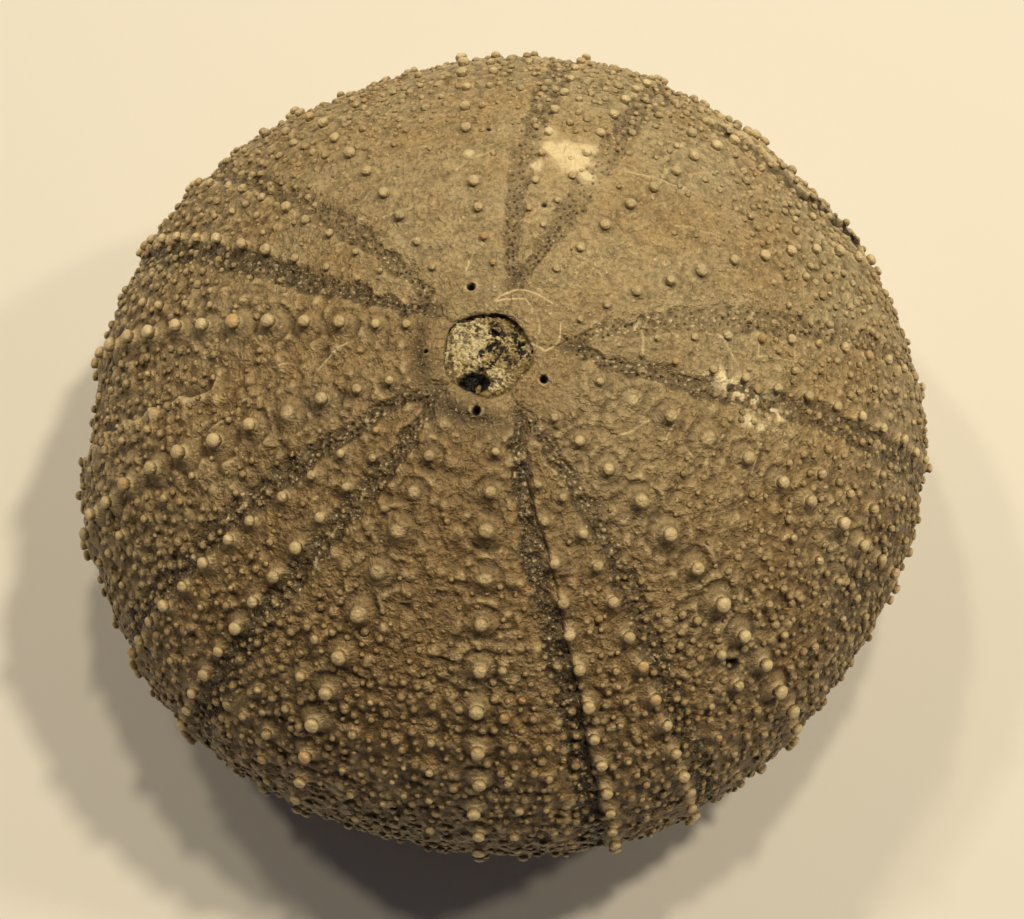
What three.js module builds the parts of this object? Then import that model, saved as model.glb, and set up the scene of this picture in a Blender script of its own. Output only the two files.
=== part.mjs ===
// Fossil sea urchin: the stone-filled test of a regular urchin, lying mouth down.
// Millimetres, +Z up, standing on z = 0. The test is one stone. It has an opening at the top
// (the periproct) and the mouth opening underneath, each plugged by hardened sandy matrix.
import * as THREE from "three";

// ---- The test ----
const TEST_RADIUS = 31.4; // bare test at the ambitus, its widest level
const AMBITUS_HEIGHT = 14.8;
const DOME_RISE = 22.8; // from the ambitus to the apex
const DOME_WIDTH_POWER = 0.98; // how fast the dome widens away from the apex
const DOME_HEIGHT_POWER = 1.06; // how flat the top of the dome is
const APEX_LEAN_X = -0.6; // the stone was pressed a little to one side
const APEX_LEAN_Y = 0.25;
const PENTAGON_BULGE = 0.014; // the five ambulacra stand out, as a part of the radius
const OVAL_BULGE = 0.018;
const OVAL_AZIMUTH = 19; // degrees, the long way of the oval
const FIRST_AMBULACRUM = 2.2; // degrees, azimuth of the first ambulacrum's midline
const SECTOR = 72; // degrees from one ambulacrum to the next
const BOX_CENTRE_X = 0.44; // middle of the test's box before it is centred on the origin
const BOX_CENTRE_Y = -0.01;

// ---- Columns of plates: degrees from the ambulacrum's midline ----
const AMBULACRAL_TUBERCLES = [2.9, 6.5];
const PORE_ZONE_EDGE = 11.6;
const PRIMARY_TUBERCLES = [21.2, 25.8];
const INTERRADIAL_SUTURE = 36;

// ---- Courses of plates: distance along the shell from the apex ----
const FIRST_COURSE = 5.3;
const COURSE_STEP = 1.58; // half a plate, as neighbouring columns are staggered by half
const APEX_CROWDING = 0.9; // the youngest plates, next to the apical disc, are lower
const LAST_COURSE = 40;

// ---- Tubercles ----
const PRIMARY_BOSS_HEIGHT = 0.75;
const AMBULACRAL_BOSS_HEIGHT = 0.5;
const YOUNGEST_BOSS = 0.3; // height of a boss next to the apical disc, against a full one
const BOSS_TOP = 0.42; // width of a boss's top against its foot

// ---- Apical opening ----
const DISC_RADIUS = 4.5;
const PERIPROCT_RADIUS = 3.0;
const PERIPROCT_X = -0.5; // off the apex, towards the front left
const PERIPROCT_Y = -0.35;
const PERIPROCT_DEPTH = 2.4;

// ---- Underside ----
const REST_OUTER_RADIUS = 15.6; // the flat band the test stands on
const REST_INNER_RADIUS = 13.2;
const MOUTH_RADIUS = 9.6;
const MOUTH_RISE = 2.4; // how far the mouth's rim is sunk above the ground
const MOUTH_DEPTH = 2.6;

// ---- Matrix ----
const MATRIX_GAP = 0.3;
const APICAL_MATRIX_SUNK = 0.8; // below the opening's rim
const ORAL_MATRIX_SUNK = 0.7;

const rad = THREE.MathUtils.degToRad;

// One meridian of the test as points from the apex to the resting band, with the distance
// along the shell at each one.
function meridian() {
  const points = [];
  const steps = 240;
  for (let i = 0; i <= steps; i++) {
    const turn = (i / steps) * (Math.PI / 2);
    points.push({
      r: TEST_RADIUS * Math.sin(turn) ** DOME_WIDTH_POWER,
      z: AMBITUS_HEIGHT + DOME_RISE * Math.max(0, Math.cos(turn)) ** DOME_HEIGHT_POWER,
    });
  }
  for (let i = 1; i <= steps; i++) {
    const turn = (i / steps) * (Math.PI / 2);
    points.push({
      r: REST_OUTER_RADIUS + (TEST_RADIUS - REST_OUTER_RADIUS) * Math.cos(turn),
      z: i === steps ? 0 : AMBITUS_HEIGHT * (1 - Math.sin(turn)),
    });
  }
  let along = 0;
  points.forEach((p, i) => {
    if (i > 0) along += Math.hypot(p.r - points[i - 1].r, p.z - points[i - 1].z);
    p.s = along;
  });
  return points;
}

const MERIDIAN = meridian();
const SHELL_LENGTH = MERIDIAN.at(-1).s;

// Radius and height of the bare meridian at a distance along the shell.
function profileAt(s) {
  const i = Math.max(1, MERIDIAN.findIndex((p) => p.s >= Math.min(s, SHELL_LENGTH)));
  const a = MERIDIAN[i - 1];
  const b = MERIDIAN[i];
  const t = Math.min(1, (s - a.s) / (b.s - a.s));
  return { r: a.r + (b.r - a.r) * t, z: a.z + (b.z - a.z) * t };
}

// The real outline: a little oval and pentagonal at the ambitus, round at the poles, leaning.
function shaped(r, z, azimuth) {
  const fullness = (r / TEST_RADIUS) ** 2;
  const pentagon = PENTAGON_BULGE * Math.cos(5 * rad(azimuth - FIRST_AMBULACRUM));
  const oval = OVAL_BULGE * Math.cos(2 * rad(azimuth - OVAL_AZIMUTH));
  const wide = r * (1 + fullness * (pentagon + oval));
  const lean = (z - AMBITUS_HEIGHT) / DOME_RISE;
  return new THREE.Vector3(
    wide * Math.cos(rad(azimuth)) + APEX_LEAN_X * lean - BOX_CENTRE_X,
    wide * Math.sin(rad(azimuth)) + APEX_LEAN_Y * lean - BOX_CENTRE_Y,
    z,
  );
}

// Azimuths of the seams between columns of cells, and what each column carries.
function columns() {
  const half = [
    { from: 0, to: AMBULACRAL_TUBERCLES[0], kind: "plain" },
    { from: AMBULACRAL_TUBERCLES[0], to: AMBULACRAL_TUBERCLES[1], kind: "ambulacral" },
    { from: AMBULACRAL_TUBERCLES[1], to: PORE_ZONE_EDGE, kind: "plain" },
    { from: PORE_ZONE_EDGE, to: PRIMARY_TUBERCLES[0], kind: "plain" },
    { from: PRIMARY_TUBERCLES[0], to: PRIMARY_TUBERCLES[1], kind: "primary" },
    { from: PRIMARY_TUBERCLES[1], to: INTERRADIAL_SUTURE, kind: "plain" },
  ];
  const all = [];
  for (let sector = 0; sector < 5; sector++) {
    const middle = FIRST_AMBULACRUM + sector * SECTOR;
    half.forEach((c) => all.push({ azimuth: middle + c.from, kind: c.kind, side: 0 }));
    [...half].reverse().forEach((c) => {
      all.push({ azimuth: middle + SECTOR - c.to, kind: c.kind, side: 1 });
    });
  }
  return all;
}

const COLUMNS = columns();

// Levels of the courses, crowded towards the apical disc and let down to the resting band.
function courseLevel(n) {
  const level = FIRST_COURSE + COURSE_STEP * n - APEX_CROWDING * (1 - Math.exp(-n / 4));
  return n === LAST_COURSE ? SHELL_LENGTH : level;
}

// Collects corners and triangles of one closed body.
class Body {
  constructor() {
    this.corners = [];
    this.faces = [];
  }
  corner(v) {
    this.corners.push(v.x, v.y, v.z);
    return this.corners.length / 3 - 1;
  }
  at(i) {
    return new THREE.Vector3().fromArray(this.corners, 3 * i);
  }
  quad(a, b, c, d) {
    this.faces.push(a, b, c, a, c, d);
  }
  // Joins two rings of corners; the body lies to the inside of the rings as they descend.
  band(upper, lower) {
    upper.forEach((_, i) => {
      const j = (i + 1) % upper.length;
      this.quad(upper[i], lower[i], lower[j], upper[j]);
    });
  }
  // Closes a ring with a fan round one point.
  cap(ring, middle, facingUp) {
    const m = this.corner(middle);
    ring.forEach((_, i) => {
      const j = (i + 1) % ring.length;
      if (facingUp) this.faces.push(m, ring[i], ring[j]);
      else this.faces.push(m, ring[j], ring[i]);
    });
  }
  // A tubercle's boss: the cell rises to a smaller flat top.
  boss(a, b, c, d, height) {
    const foot = [a, b, c, d].map((i) => this.at(i));
    const middle = new THREE.Vector3();
    foot.forEach((v) => middle.addScaledVector(v, 0.25));
    const across = foot[1].clone().sub(foot[3]);
    const along = foot[2].clone().sub(foot[0]);
    const outward = across.cross(along).normalize();
    const rise = outward.multiplyScalar(height);
    const top = foot.map((v) => this.corner(v.lerp(middle, 1 - BOSS_TOP).add(rise)));
    const sides = [a, b, c, d];
    for (let k = 0; k < 4; k++) {
      const next = (k + 1) % 4;
      this.quad(sides[k], sides[next], top[next], top[k]);
    }
    this.quad(top[0], top[1], top[2], top[3]);
  }
  geometry() {
    const g = new THREE.BufferGeometry();
    g.setAttribute("position", new THREE.Float32BufferAttribute(this.corners, 3));
    g.setIndex(this.faces);
    g.computeVertexNormals();
    return g;
  }
}

function ringOf(body, makePoint) {
  return COLUMNS.map((c) => body.corner(makePoint(c.azimuth)));
}

// ---- The test itself ----
const testBody = new Body();

// Apical disc: floor and wall of the opening, its rim, and the ring of genital plates.
const periproctCentre = new THREE.Vector2(PERIPROCT_X, PERIPROCT_Y);

function periproctPoint(azimuth, z, radius = PERIPROCT_RADIUS) {
  const rounded = radius * (1 + 0.03 * Math.cos(5 * rad(azimuth - FIRST_AMBULACRUM)));
  return new THREE.Vector3(
    periproctCentre.x + rounded * Math.cos(rad(azimuth)) + APEX_LEAN_X - BOX_CENTRE_X,
    periproctCentre.y + rounded * Math.sin(rad(azimuth)) + APEX_LEAN_Y - BOX_CENTRE_Y,
    z,
  );
}

const rimHeight = profileAt(PERIPROCT_RADIUS).z;
const floorHeight = rimHeight - PERIPROCT_DEPTH;
const floorRing = ringOf(testBody, (a) => periproctPoint(a, floorHeight));
const rimRing = ringOf(testBody, (a) => periproctPoint(a, rimHeight));
const discRing = ringOf(testBody, (a) => {
  const p = profileAt(DISC_RADIUS);
  return shaped(p.r, p.z, a);
});
testBody.cap(floorRing, periproctPoint(0, floorHeight, 0), true);
testBody.band(floorRing, rimRing);
testBody.band(rimRing, discRing);

// Courses of plates from the disc to the resting band, with a boss on every plate.
const courses = [];
for (let n = 0; n <= LAST_COURSE; n++) {
  const p = profileAt(courseLevel(n));
  courses.push(ringOf(testBody, (a) => shaped(p.r, p.z, a)));
}
testBody.band(discRing, courses[0]);
for (let n = 0; n < LAST_COURSE; n++) {
  const clearOfGround = n < LAST_COURSE - 5;
  const grown = Math.min(1, YOUNGEST_BOSS + n / 10);
  COLUMNS.forEach((column, i) => {
    const j = (i + 1) % COLUMNS.length;
    const cell = [courses[n][i], courses[n + 1][i], courses[n + 1][j], courses[n][j]];
    const turn = (n + column.side) % 2 === 0;
    if (column.kind === "primary" && turn && clearOfGround) {
      testBody.boss(...cell, PRIMARY_BOSS_HEIGHT * grown);
    } else if (column.kind === "ambulacral" && turn && clearOfGround) {
      testBody.boss(...cell, AMBULACRAL_BOSS_HEIGHT * grown);
    } else {
      testBody.quad(...cell);
    }
  });
}

// Underside: the flat resting band, the slope up to the mouth's rim, its wall and roof.
function underPoint(azimuth, r, z) {
  return shaped(r, z, azimuth);
}

const bandInner = ringOf(testBody, (a) => underPoint(a, REST_INNER_RADIUS, 0));
const mouthSlope = ringOf(testBody, (a) =>
  underPoint(a, (REST_INNER_RADIUS + MOUTH_RADIUS) / 2, MOUTH_RISE * 0.4),
);
const mouthRim = ringOf(testBody, (a) => underPoint(a, MOUTH_RADIUS, MOUTH_RISE));
const mouthRoof = ringOf(testBody, (a) =>
  underPoint(a, MOUTH_RADIUS, MOUTH_RISE + MOUTH_DEPTH),
);
testBody.band(courses.at(-1), bandInner);
testBody.band(bandInner, mouthSlope);
testBody.band(mouthSlope, mouthRim);
testBody.band(mouthRim, mouthRoof);
testBody.cap(mouthRoof, underPoint(0, 0, MOUTH_RISE + MOUTH_DEPTH), false);

// ---- Apical matrix: the sandy fill seen in the opening at the top ----
const apicalBody = new Body();
const apicalTop = rimHeight - APICAL_MATRIX_SUNK;
const apicalRadius = PERIPROCT_RADIUS - MATRIX_GAP;
const apicalFoot = ringOf(apicalBody, (a) =>
  periproctPoint(a, floorHeight + MATRIX_GAP, apicalRadius),
);
const apicalEdge = ringOf(apicalBody, (a) =>
  periproctPoint(a, apicalTop - 0.25, apicalRadius),
);
const apicalCrown = ringOf(apicalBody, (a) =>
  periproctPoint(a, apicalTop, apicalRadius * 0.6),
);
apicalBody.cap(apicalCrown, periproctPoint(0, apicalTop, 0), true);
apicalBody.band(apicalCrown, apicalEdge);
apicalBody.band(apicalEdge, apicalFoot);
apicalBody.cap(apicalFoot, periproctPoint(0, floorHeight + MATRIX_GAP, 0), false);

// ---- Oral matrix: the same fill in the mouth opening underneath ----
const oralBody = new Body();
const oralRadius = MOUTH_RADIUS - MATRIX_GAP;
const oralFace = MOUTH_RISE + ORAL_MATRIX_SUNK;
const oralRoof = MOUTH_RISE + MOUTH_DEPTH - MATRIX_GAP;
const oralUpper = ringOf(oralBody, (a) => underPoint(a, oralRadius, oralRoof));
const oralEdge = ringOf(oralBody, (a) => underPoint(a, oralRadius, oralFace + 0.3));
const oralCrown = ringOf(oralBody, (a) => underPoint(a, oralRadius * 0.7, oralFace));
oralBody.cap(oralUpper, underPoint(0, 0, oralRoof), true);
oralBody.band(oralUpper, oralEdge);
oralBody.band(oralEdge, oralCrown);
oralBody.cap(oralCrown, underPoint(0, 0, oralFace), false);

// ---- Materials and the finished part ----
const testStone = new THREE.MeshStandardMaterial({
  color: 0x8a7350,
  roughness: 0.75,
  metalness: 0,
  flatShading: true,
});
const matrixStone = new THREE.MeshStandardMaterial({
  color: 0x9a8455,
  roughness: 0.9,
  metalness: 0,
  flatShading: true,
});

function named(name, body, material) {
  const mesh = new THREE.Mesh(body.geometry(), material);
  mesh.name = name;
  return mesh;
}

const group = new THREE.Group();
group.add(named("test", testBody, testStone));
group.add(named("apical_matrix", apicalBody, matrixStone));
group.add(named("oral_matrix", oralBody, matrixStone));

export default group;
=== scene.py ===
import bpy
import numpy as np
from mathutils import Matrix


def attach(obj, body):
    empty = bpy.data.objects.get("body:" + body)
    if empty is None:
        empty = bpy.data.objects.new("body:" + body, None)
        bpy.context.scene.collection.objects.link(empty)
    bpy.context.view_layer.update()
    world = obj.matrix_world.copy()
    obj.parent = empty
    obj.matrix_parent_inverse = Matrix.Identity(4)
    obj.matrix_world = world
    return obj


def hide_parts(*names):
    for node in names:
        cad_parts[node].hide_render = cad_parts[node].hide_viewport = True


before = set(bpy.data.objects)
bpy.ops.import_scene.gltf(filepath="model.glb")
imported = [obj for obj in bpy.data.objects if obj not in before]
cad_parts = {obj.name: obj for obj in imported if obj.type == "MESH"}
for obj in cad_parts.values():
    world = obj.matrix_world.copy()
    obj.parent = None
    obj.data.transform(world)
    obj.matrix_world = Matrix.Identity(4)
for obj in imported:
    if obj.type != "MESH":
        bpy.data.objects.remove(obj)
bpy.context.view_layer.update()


# ------------------------------------------------------------------ the form of the test
# The test is the urchin's shell: plates of calcite grown edge to edge, since filled with
# sediment and turned to stone. It lies mouth down, leans a little and is slightly oval and
# five-sided. Every surface below is laid out on it by two numbers: the distance in mm along
# the shell from the apex, and the azimuth in degrees.
MM = 0.001
TEST_RADIUS = 31.4
AMBITUS_HEIGHT = 14.8
DOME_RISE = 22.8
DOME_WIDTH_POWER = 0.98
DOME_HEIGHT_POWER = 1.06
APEX_LEAN = (-0.6, 0.25)
PENTAGON_BULGE = 0.014
OVAL_BULGE = 0.018
OVAL_AZIMUTH = 19.0
FIRST_AMBULACRUM = 2.2
SECTOR = 72.0
BOX_CENTRE = (0.44, -0.01)
REST_BAND = (15.6, 13.2)
MOUTH_RADIUS = 9.6
MOUTH_RISE = 2.6
DISC_EDGE = 5.2  # where the columns of plates begin, along the shell
TUBERCLE_ROOM = 0.75  # the bare shell is this far off the ground, and its tubercles reach it


def smooth_step(low, high, x):
    """0 below low and 1 above high, with an S-shaped cubic between them."""
    t = np.clip((x - low) / (high - low), 0.0, 1.0)
    return t * t * (3.0 - 2.0 * t)


def bell(x, width):
    """A bell curve of a distance: 1 at nought and about a third at the width."""
    return np.exp(-((x / width) ** 2))


QUARTER_POINTS = 1500  # points on the dome, and again under the ambitus
BAND_POINTS = 400  # points on the resting band, and again on the slope up to the mouth


def meridian_of_the_test():
    """Distance, radius and height along one meridian.

    Powers of the sine and cosine of a quarter turn give the dome, a quarter ellipse the part
    under the ambitus, and a cosine slope leads from the resting band up to the mouth's rim.
    """
    turn = np.linspace(0.0, np.pi / 2, QUARTER_POINTS)
    dome_r = TEST_RADIUS * np.sin(turn) ** DOME_WIDTH_POWER
    dome_z = AMBITUS_HEIGHT + DOME_RISE * np.cos(turn) ** DOME_HEIGHT_POWER
    under_r = REST_BAND[0] + (TEST_RADIUS - REST_BAND[0]) * np.cos(turn[1:])
    under_z = AMBITUS_HEIGHT * (1.0 - np.sin(turn[1:]))
    inward = np.linspace(0.0, 1.0, BAND_POINTS)[1:]
    band_r = REST_BAND[0] + (REST_BAND[1] - REST_BAND[0]) * inward
    slope_r = REST_BAND[1] + (MOUTH_RADIUS - REST_BAND[1]) * inward
    slope_z = MOUTH_RISE * (1.0 - np.cos(inward * np.pi / 2))
    radius = np.concatenate([dome_r, under_r, band_r, slope_r])
    height = np.concatenate([dome_z, under_z, np.zeros(len(inward)), slope_z])
    along = np.concatenate([[0.0], np.cumsum(np.hypot(np.diff(radius), np.diff(height)))])
    return along, radius, height


ALONG, RADIUS, HEIGHT = meridian_of_the_test()
AMBITUS = ALONG[QUARTER_POINTS - 1]
BAND_START = 2 * QUARTER_POINTS - 2
GROUND = 0.5 * (ALONG[BAND_START] + ALONG[BAND_START + BAND_POINTS - 1])
MOUTH_EDGE = ALONG[-1]


def radius_at(s):
    """Radius of the bare meridian at a distance along the shell."""
    return np.interp(s, ALONG, RADIUS)


def bare_test(s, azimuth):
    """Points of the smooth test: the meridian turned about the axis, swelled by a five-fold and
    a two-fold cosine in proportion to the radius squared, leaning with height, and raised off
    the ground under the resting band by a bell curve."""
    r = radius_at(s)
    z = np.interp(s, ALONG, HEIGHT)
    angle = np.radians(azimuth)
    pentagon = PENTAGON_BULGE * np.cos(5 * (angle - np.radians(FIRST_AMBULACRUM)))
    oval = OVAL_BULGE * np.cos(2 * (angle - np.radians(OVAL_AZIMUTH)))
    wide = r * (1.0 + (r / TEST_RADIUS) ** 2 * (pentagon + oval))
    lean = (z - AMBITUS_HEIGHT) / DOME_RISE
    raised = TUBERCLE_ROOM * bell(s - GROUND, 7.0)
    return np.stack(
        [
            wide * np.cos(angle) + APEX_LEAN[0] * lean - BOX_CENTRE[0],
            wide * np.sin(angle) + APEX_LEAN[1] * lean - BOX_CENTRE[1],
            z + raised,
        ],
        axis=-1,
    )


def outward(s, azimuth):
    """Unit normals of the smooth test, from the cross product of its two slopes."""
    down = bare_test(s + 0.05, azimuth) - bare_test(np.maximum(s - 0.05, 0.0), azimuth)
    round_ = bare_test(s, azimuth + 0.1) - bare_test(s, azimuth - 0.1)
    normal = np.cross(down, round_)
    return normal / np.linalg.norm(normal, axis=-1, keepdims=True)


def stone_noise(points, size, seed):
    """Smooth random values from -1 to 1: random numbers on a cubic lattice of that size in mm,
    blended between its corners by smooth weights."""
    place = points / size + 1000.0
    cell = np.floor(place).astype(np.int64)
    part = place - cell
    part = part * part * (3.0 - 2.0 * part)
    total = np.zeros(points.shape[:-1])
    for corner in range(8):
        step = np.array([corner & 1, (corner >> 1) & 1, (corner >> 2) & 1])
        key = ((cell + step) * np.array([73856093, 19349663, 83492791])).sum(-1) + seed * 7919
        key = (key ^ (key >> 13)) * 1274126177
        key = (key ^ (key >> 16)) & 0xFFFF
        weight = np.where(step, part, 1.0 - part).prod(-1)
        total += (key / 32767.5 - 1.0) * weight
    return total


# ------------------------------------------------------------------ courses of plates
# Five ambulacra, each two narrow columns of plates with pores for the tube feet, alternate
# with five interambulacra, each two wide columns. Neighbouring columns are staggered by half
# a plate and meet in a zigzag. Pressure has bent the columns a little.
MIDLINE_BENDS = [-1.0, -2.0, 1.0, 0.0, 0.0]  # degrees that each ambulacrum has turned further out
PLATE_HEIGHTS = [2.8, 2.8, 2.8, 3.1, 3.1]  # of a full plate, in mm, for each interambulacrum
FIRST_PLATES = (6.1, 7.2)  # where the first plate of either column has its middle
TUBERCLE_SHARES = (0.70, 0.49)  # of the half-width, next to the disc and further out
FIRST_AMBULACRAL = (9.7, 10.9)  # where the first tubercle of either row stands
AMBULACRAL_STEP = 2.55  # from one of them to the next
AMBULACRAL_REACH = (2.8, 5.5)  # degrees from the midline, near the disc and further out


def ambulacrum_middle(k, s):
    """Azimuth of an ambulacrum's midline: straight at first, then bent by a ramp."""
    bend = MIDLINE_BENDS[k % 5] * np.clip((s - 8.0) / 20.0, 0.0, 1.15)
    return FIRST_AMBULACRUM + SECTOR * k + bend


def pore_line(s):
    """Degrees from an ambulacrum's midline to the middle of its pore zone: it opens quickly from
    the apical disc, narrows a little towards the ambitus and widens again near the mouth."""
    opened = 9.6 * (1.0 - np.exp(-np.maximum(s - 4.7, 0.0) / 1.5))
    return opened - 1.5 * smooth_step(12.0, 27.0, s) + 3.0 * smooth_step(56.0, 74.0, s)


def pore_zone_width(s):
    """Width of a pore zone in mm, growing away from the apex by a falling exponential."""
    return 0.75 + 1.15 * (1.0 - np.exp(-np.maximum(s - 5.0, 0.0) / 9.0))


def ambulacrum_edge(s):
    """Degrees from an ambulacrum's midline to its outer suture."""
    return pore_line(s) + np.degrees(0.5 * pore_zone_width(s) / radius_at(s)) + 0.5


def interambulacrum_span(k, s):
    """Azimuths of the two edges of an interambulacrum."""
    low = ambulacrum_middle(k, s) + ambulacrum_edge(s)
    high = ambulacrum_middle(k + 1, s) - ambulacrum_edge(s)
    return low, high


def plate_height(k, s):
    """Height of an interambulacral plate: low next to the disc, full by the ambitus, low again
    under it."""
    young = 1.0 - 0.28 * np.exp(-(s - 6.0) / 3.5)
    old = 1.0 - 0.35 * smooth_step(AMBITUS, MOUTH_EDGE, s)
    return PLATE_HEIGHTS[k] * young * old


def course_levels(k, first):
    """Middles of the plates of one column, each a plate's height from the last."""
    levels = [first]
    while levels[-1] < MOUTH_EDGE + 4.0:
        levels.append(levels[-1] + float(plate_height(k, levels[-1])))
    return np.array(levels)


COURSES = [tuple(course_levels(k, first) for first in FIRST_PLATES) for k in range(5)]


def spared(azimuth):
    """1 at the front, which was rubbed least, and 0 at the back of the dome."""
    return smooth_step(0.2, 0.7, 0.5 - 0.5 * np.cos(np.radians(azimuth - 65.0)))


def freshness(s, azimuth):
    """How much of the fine relief is left, from 0 to 1: little on the back of the dome, which is
    rubbed smooth, and more towards the front and the ambitus."""
    return np.clip(0.12 + 0.8 * spared(azimuth) + 0.55 * smooth_step(15, 36, s), 0, 1)


# ------------------------------------------------------------------ where the tubercles stand
# Each plate carries one large tubercle: a round head, on which a spine turned, on a conical
# boss. Smaller ones stand beside it in rows, more of them towards the ambitus, and granules
# fill the rest. Some large heads have broken off.
dice = np.random.default_rng(41)
# plates whose head has broken off, counted from the disc, by interambulacrum and side
HEADS_LOST = {(1, -1): [4], (2, 1): [3], (3, -1): [0, 2, 3, 4], (3, 1): [3], (4, 1): [1, 3]}


def head_size(s):
    """Radius of a large tubercle's head: small near the apex, full by the third plate, and
    smaller again from the ambitus to the mouth."""
    grown = 0.29 + 0.23 * smooth_step(5.5, 14.0, s)
    return grown * (1.0 - 0.16 * smooth_step(33.0, 42.0, s)) * (1.0 - 0.2 * smooth_step(50.0, 74.0, s))


def turn_from(start, azimuth):
    """Degrees from one azimuth round to another, between -180 and 180."""
    return (azimuth - start + 180.0) % 360.0 - 180.0


def apart(a, b):
    """Distance in mm between places given as (distance along the shell, azimuth)."""
    turn = turn_from(b[None, :, 1], a[:, None, 1])
    r = radius_at(0.5 * (a[:, None, 0] + b[None, :, 0]))
    return np.hypot(a[:, None, 0] - b[None, :, 0], r * np.radians(turn))


def with_bosses(rows, rise):
    """The table with a fourth column: the height of each boss in mm, lower where worn."""
    rows = np.array(rows)
    boss = rise * rows[:, 2] * (0.42 + 0.58 * freshness(rows[:, 0], rows[:, 1]))
    return np.column_stack([rows, boss])


def plate_tubercles():
    """Rows of (distance, azimuth, head radius, boss height), and which of them have lost the
    head: one tubercle on each interambulacral plate, at a share of the half-width that falls
    from the apex."""
    rows = []
    broken = []
    near, far = TUBERCLE_SHARES
    for k in range(5):
        for side, levels in zip((-1, 1), COURSES[k]):
            s = levels + dice.normal(0.0, 0.08, len(levels))
            s = s[(s > 5.7) & (s < MOUTH_EDGE - 1.5)]
            low, high = interambulacrum_span(k, s)
            share = far + (near - far) * np.exp(-(s - 6.0) / 7.0)
            share = share + dice.normal(0.0, 0.01, len(s))
            azimuth = 0.5 * (low + high) + side * share * 0.5 * (high - low)
            worn = 0.84 + 0.16 * spared(azimuth)
            size = head_size(s) * worn * dice.uniform(0.9, 1.1, len(s))
            rows.append(np.column_stack([s, azimuth, size]))
            broken.append(np.isin(np.arange(len(s)), HEADS_LOST.get((k, side), [])))
    return with_bosses(np.concatenate(rows), 1.12), np.concatenate(broken)


def ambulacral_tubercles():
    """The same for the two rows of each ambulacrum, which start further from the disc."""
    rows = []
    near, far = AMBULACRAL_REACH
    for k in range(5):
        for side, first in zip((-1, 1), FIRST_AMBULACRAL):
            s = np.arange(first, MOUTH_EDGE - 1.5, AMBULACRAL_STEP)
            s = s + dice.normal(0.0, 0.12, len(s))
            reach = far + (near - far) * np.exp(-(s - 9.0) / 4.0)
            azimuth = ambulacrum_middle(k, s) + side * reach + dice.normal(0.0, 0.15, len(s))
            size = (0.25 + 0.18 * smooth_step(9.0, 19.0, s)) * (0.84 + 0.16 * spared(azimuth))
            size = size * (1.0 - 0.3 * smooth_step(50.0, 74.0, s)) * dice.uniform(0.9, 1.1, len(s))
            rows.append(np.column_stack([s, azimuth, size]))
    return with_bosses(np.concatenate(rows), 0.95)


PRIMARY, BROKEN = plate_tubercles()
LARGE = np.concatenate([PRIMARY, ambulacral_tubercles()])


def middling_tubercles():
    """Rows beside the large tubercles: shares of the half-width that fill up one after another
    towards the ambitus, and a line along each ambulacrum's midline."""
    plan = [(0.70, 21.0, 0.36), (0.22, 24.0, 0.33), (0.90, 27.0, 0.29), (0.05, 30.0, 0.27)]
    rows = []
    for k in range(5):
        for side, levels in zip((-1, 1), COURSES[k]):
            for share, first, size in plan:
                s = levels + dice.normal(0.0, 0.22, len(levels))
                s = s[(s > first) & (s < MOUTH_EDGE - 1.2)]
                low, high = interambulacrum_span(k, s)
                across = side * (share + dice.normal(0.0, 0.02, len(s)))
                azimuth = 0.5 * (low + high) + across * 0.5 * (high - low)
                grown = 0.82 + 0.18 * smooth_step(first, first + 6.0, s)
                grown = grown * (1.0 - 0.25 * smooth_step(52.0, 74.0, s))
                size_here = size * grown * dice.uniform(0.85, 1.15, len(s))
                rows.append(np.column_stack([s, azimuth, size_here]))
        s = np.arange(20.0, MOUTH_EDGE - 1.5, 1.5)
        s = s + dice.normal(0.0, 0.15, len(s))
        azimuth = ambulacrum_middle(k, s) + dice.normal(0.0, 1.4, len(s))
        rows.append(np.column_stack([s, azimuth, 0.25 * dice.uniform(0.8, 1.2, len(s))]))
    rows = np.concatenate(rows)
    near = apart(rows, LARGE) < (LARGE[None, :, 2] * 2.0 + rows[:, None, 2] * 1.3)
    return with_bosses(rows[~near.any(axis=1)], 0.95)


MIDDLING = middling_tubercles()


def granules():
    """Small tubercles on a jittered lattice over the whole shell, fewer near the apex, and none
    where a bigger one already stands. About a third are twice the size of the rest."""
    rows = []
    s = 7.6
    while s < MOUTH_EDGE - 0.8:
        count = int(2 * np.pi * radius_at(s) / 1.02)
        azimuth = (np.arange(count) + dice.random()) * 360.0 / count
        place = s + dice.normal(0.0, 0.12, count)
        azimuth = azimuth + np.degrees(dice.normal(0.0, 0.2, count) / radius_at(s))
        bigger = dice.random(count) < 0.36
        size = np.where(bigger, 0.27, 0.19) * (0.72 + 0.28 * smooth_step(14.0, 26.0, s))
        size = size * dice.uniform(0.8, 1.2, count)
        kept = dice.random(count) < 0.12 + 0.82 * smooth_step(11.0, 25.0, s)
        rows.append(np.column_stack([place, azimuth, size])[kept])
        s += 0.9
    rows = np.concatenate(rows)
    stand = np.concatenate([LARGE, MIDDLING])
    room = stand[None, :, 2] * 1.7 + rows[:, None, 2] * 1.2
    taken = (apart(rows, stand) < room).any(axis=1)
    return with_bosses(rows[~taken], 0.8)


GRANULES = granules()


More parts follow.
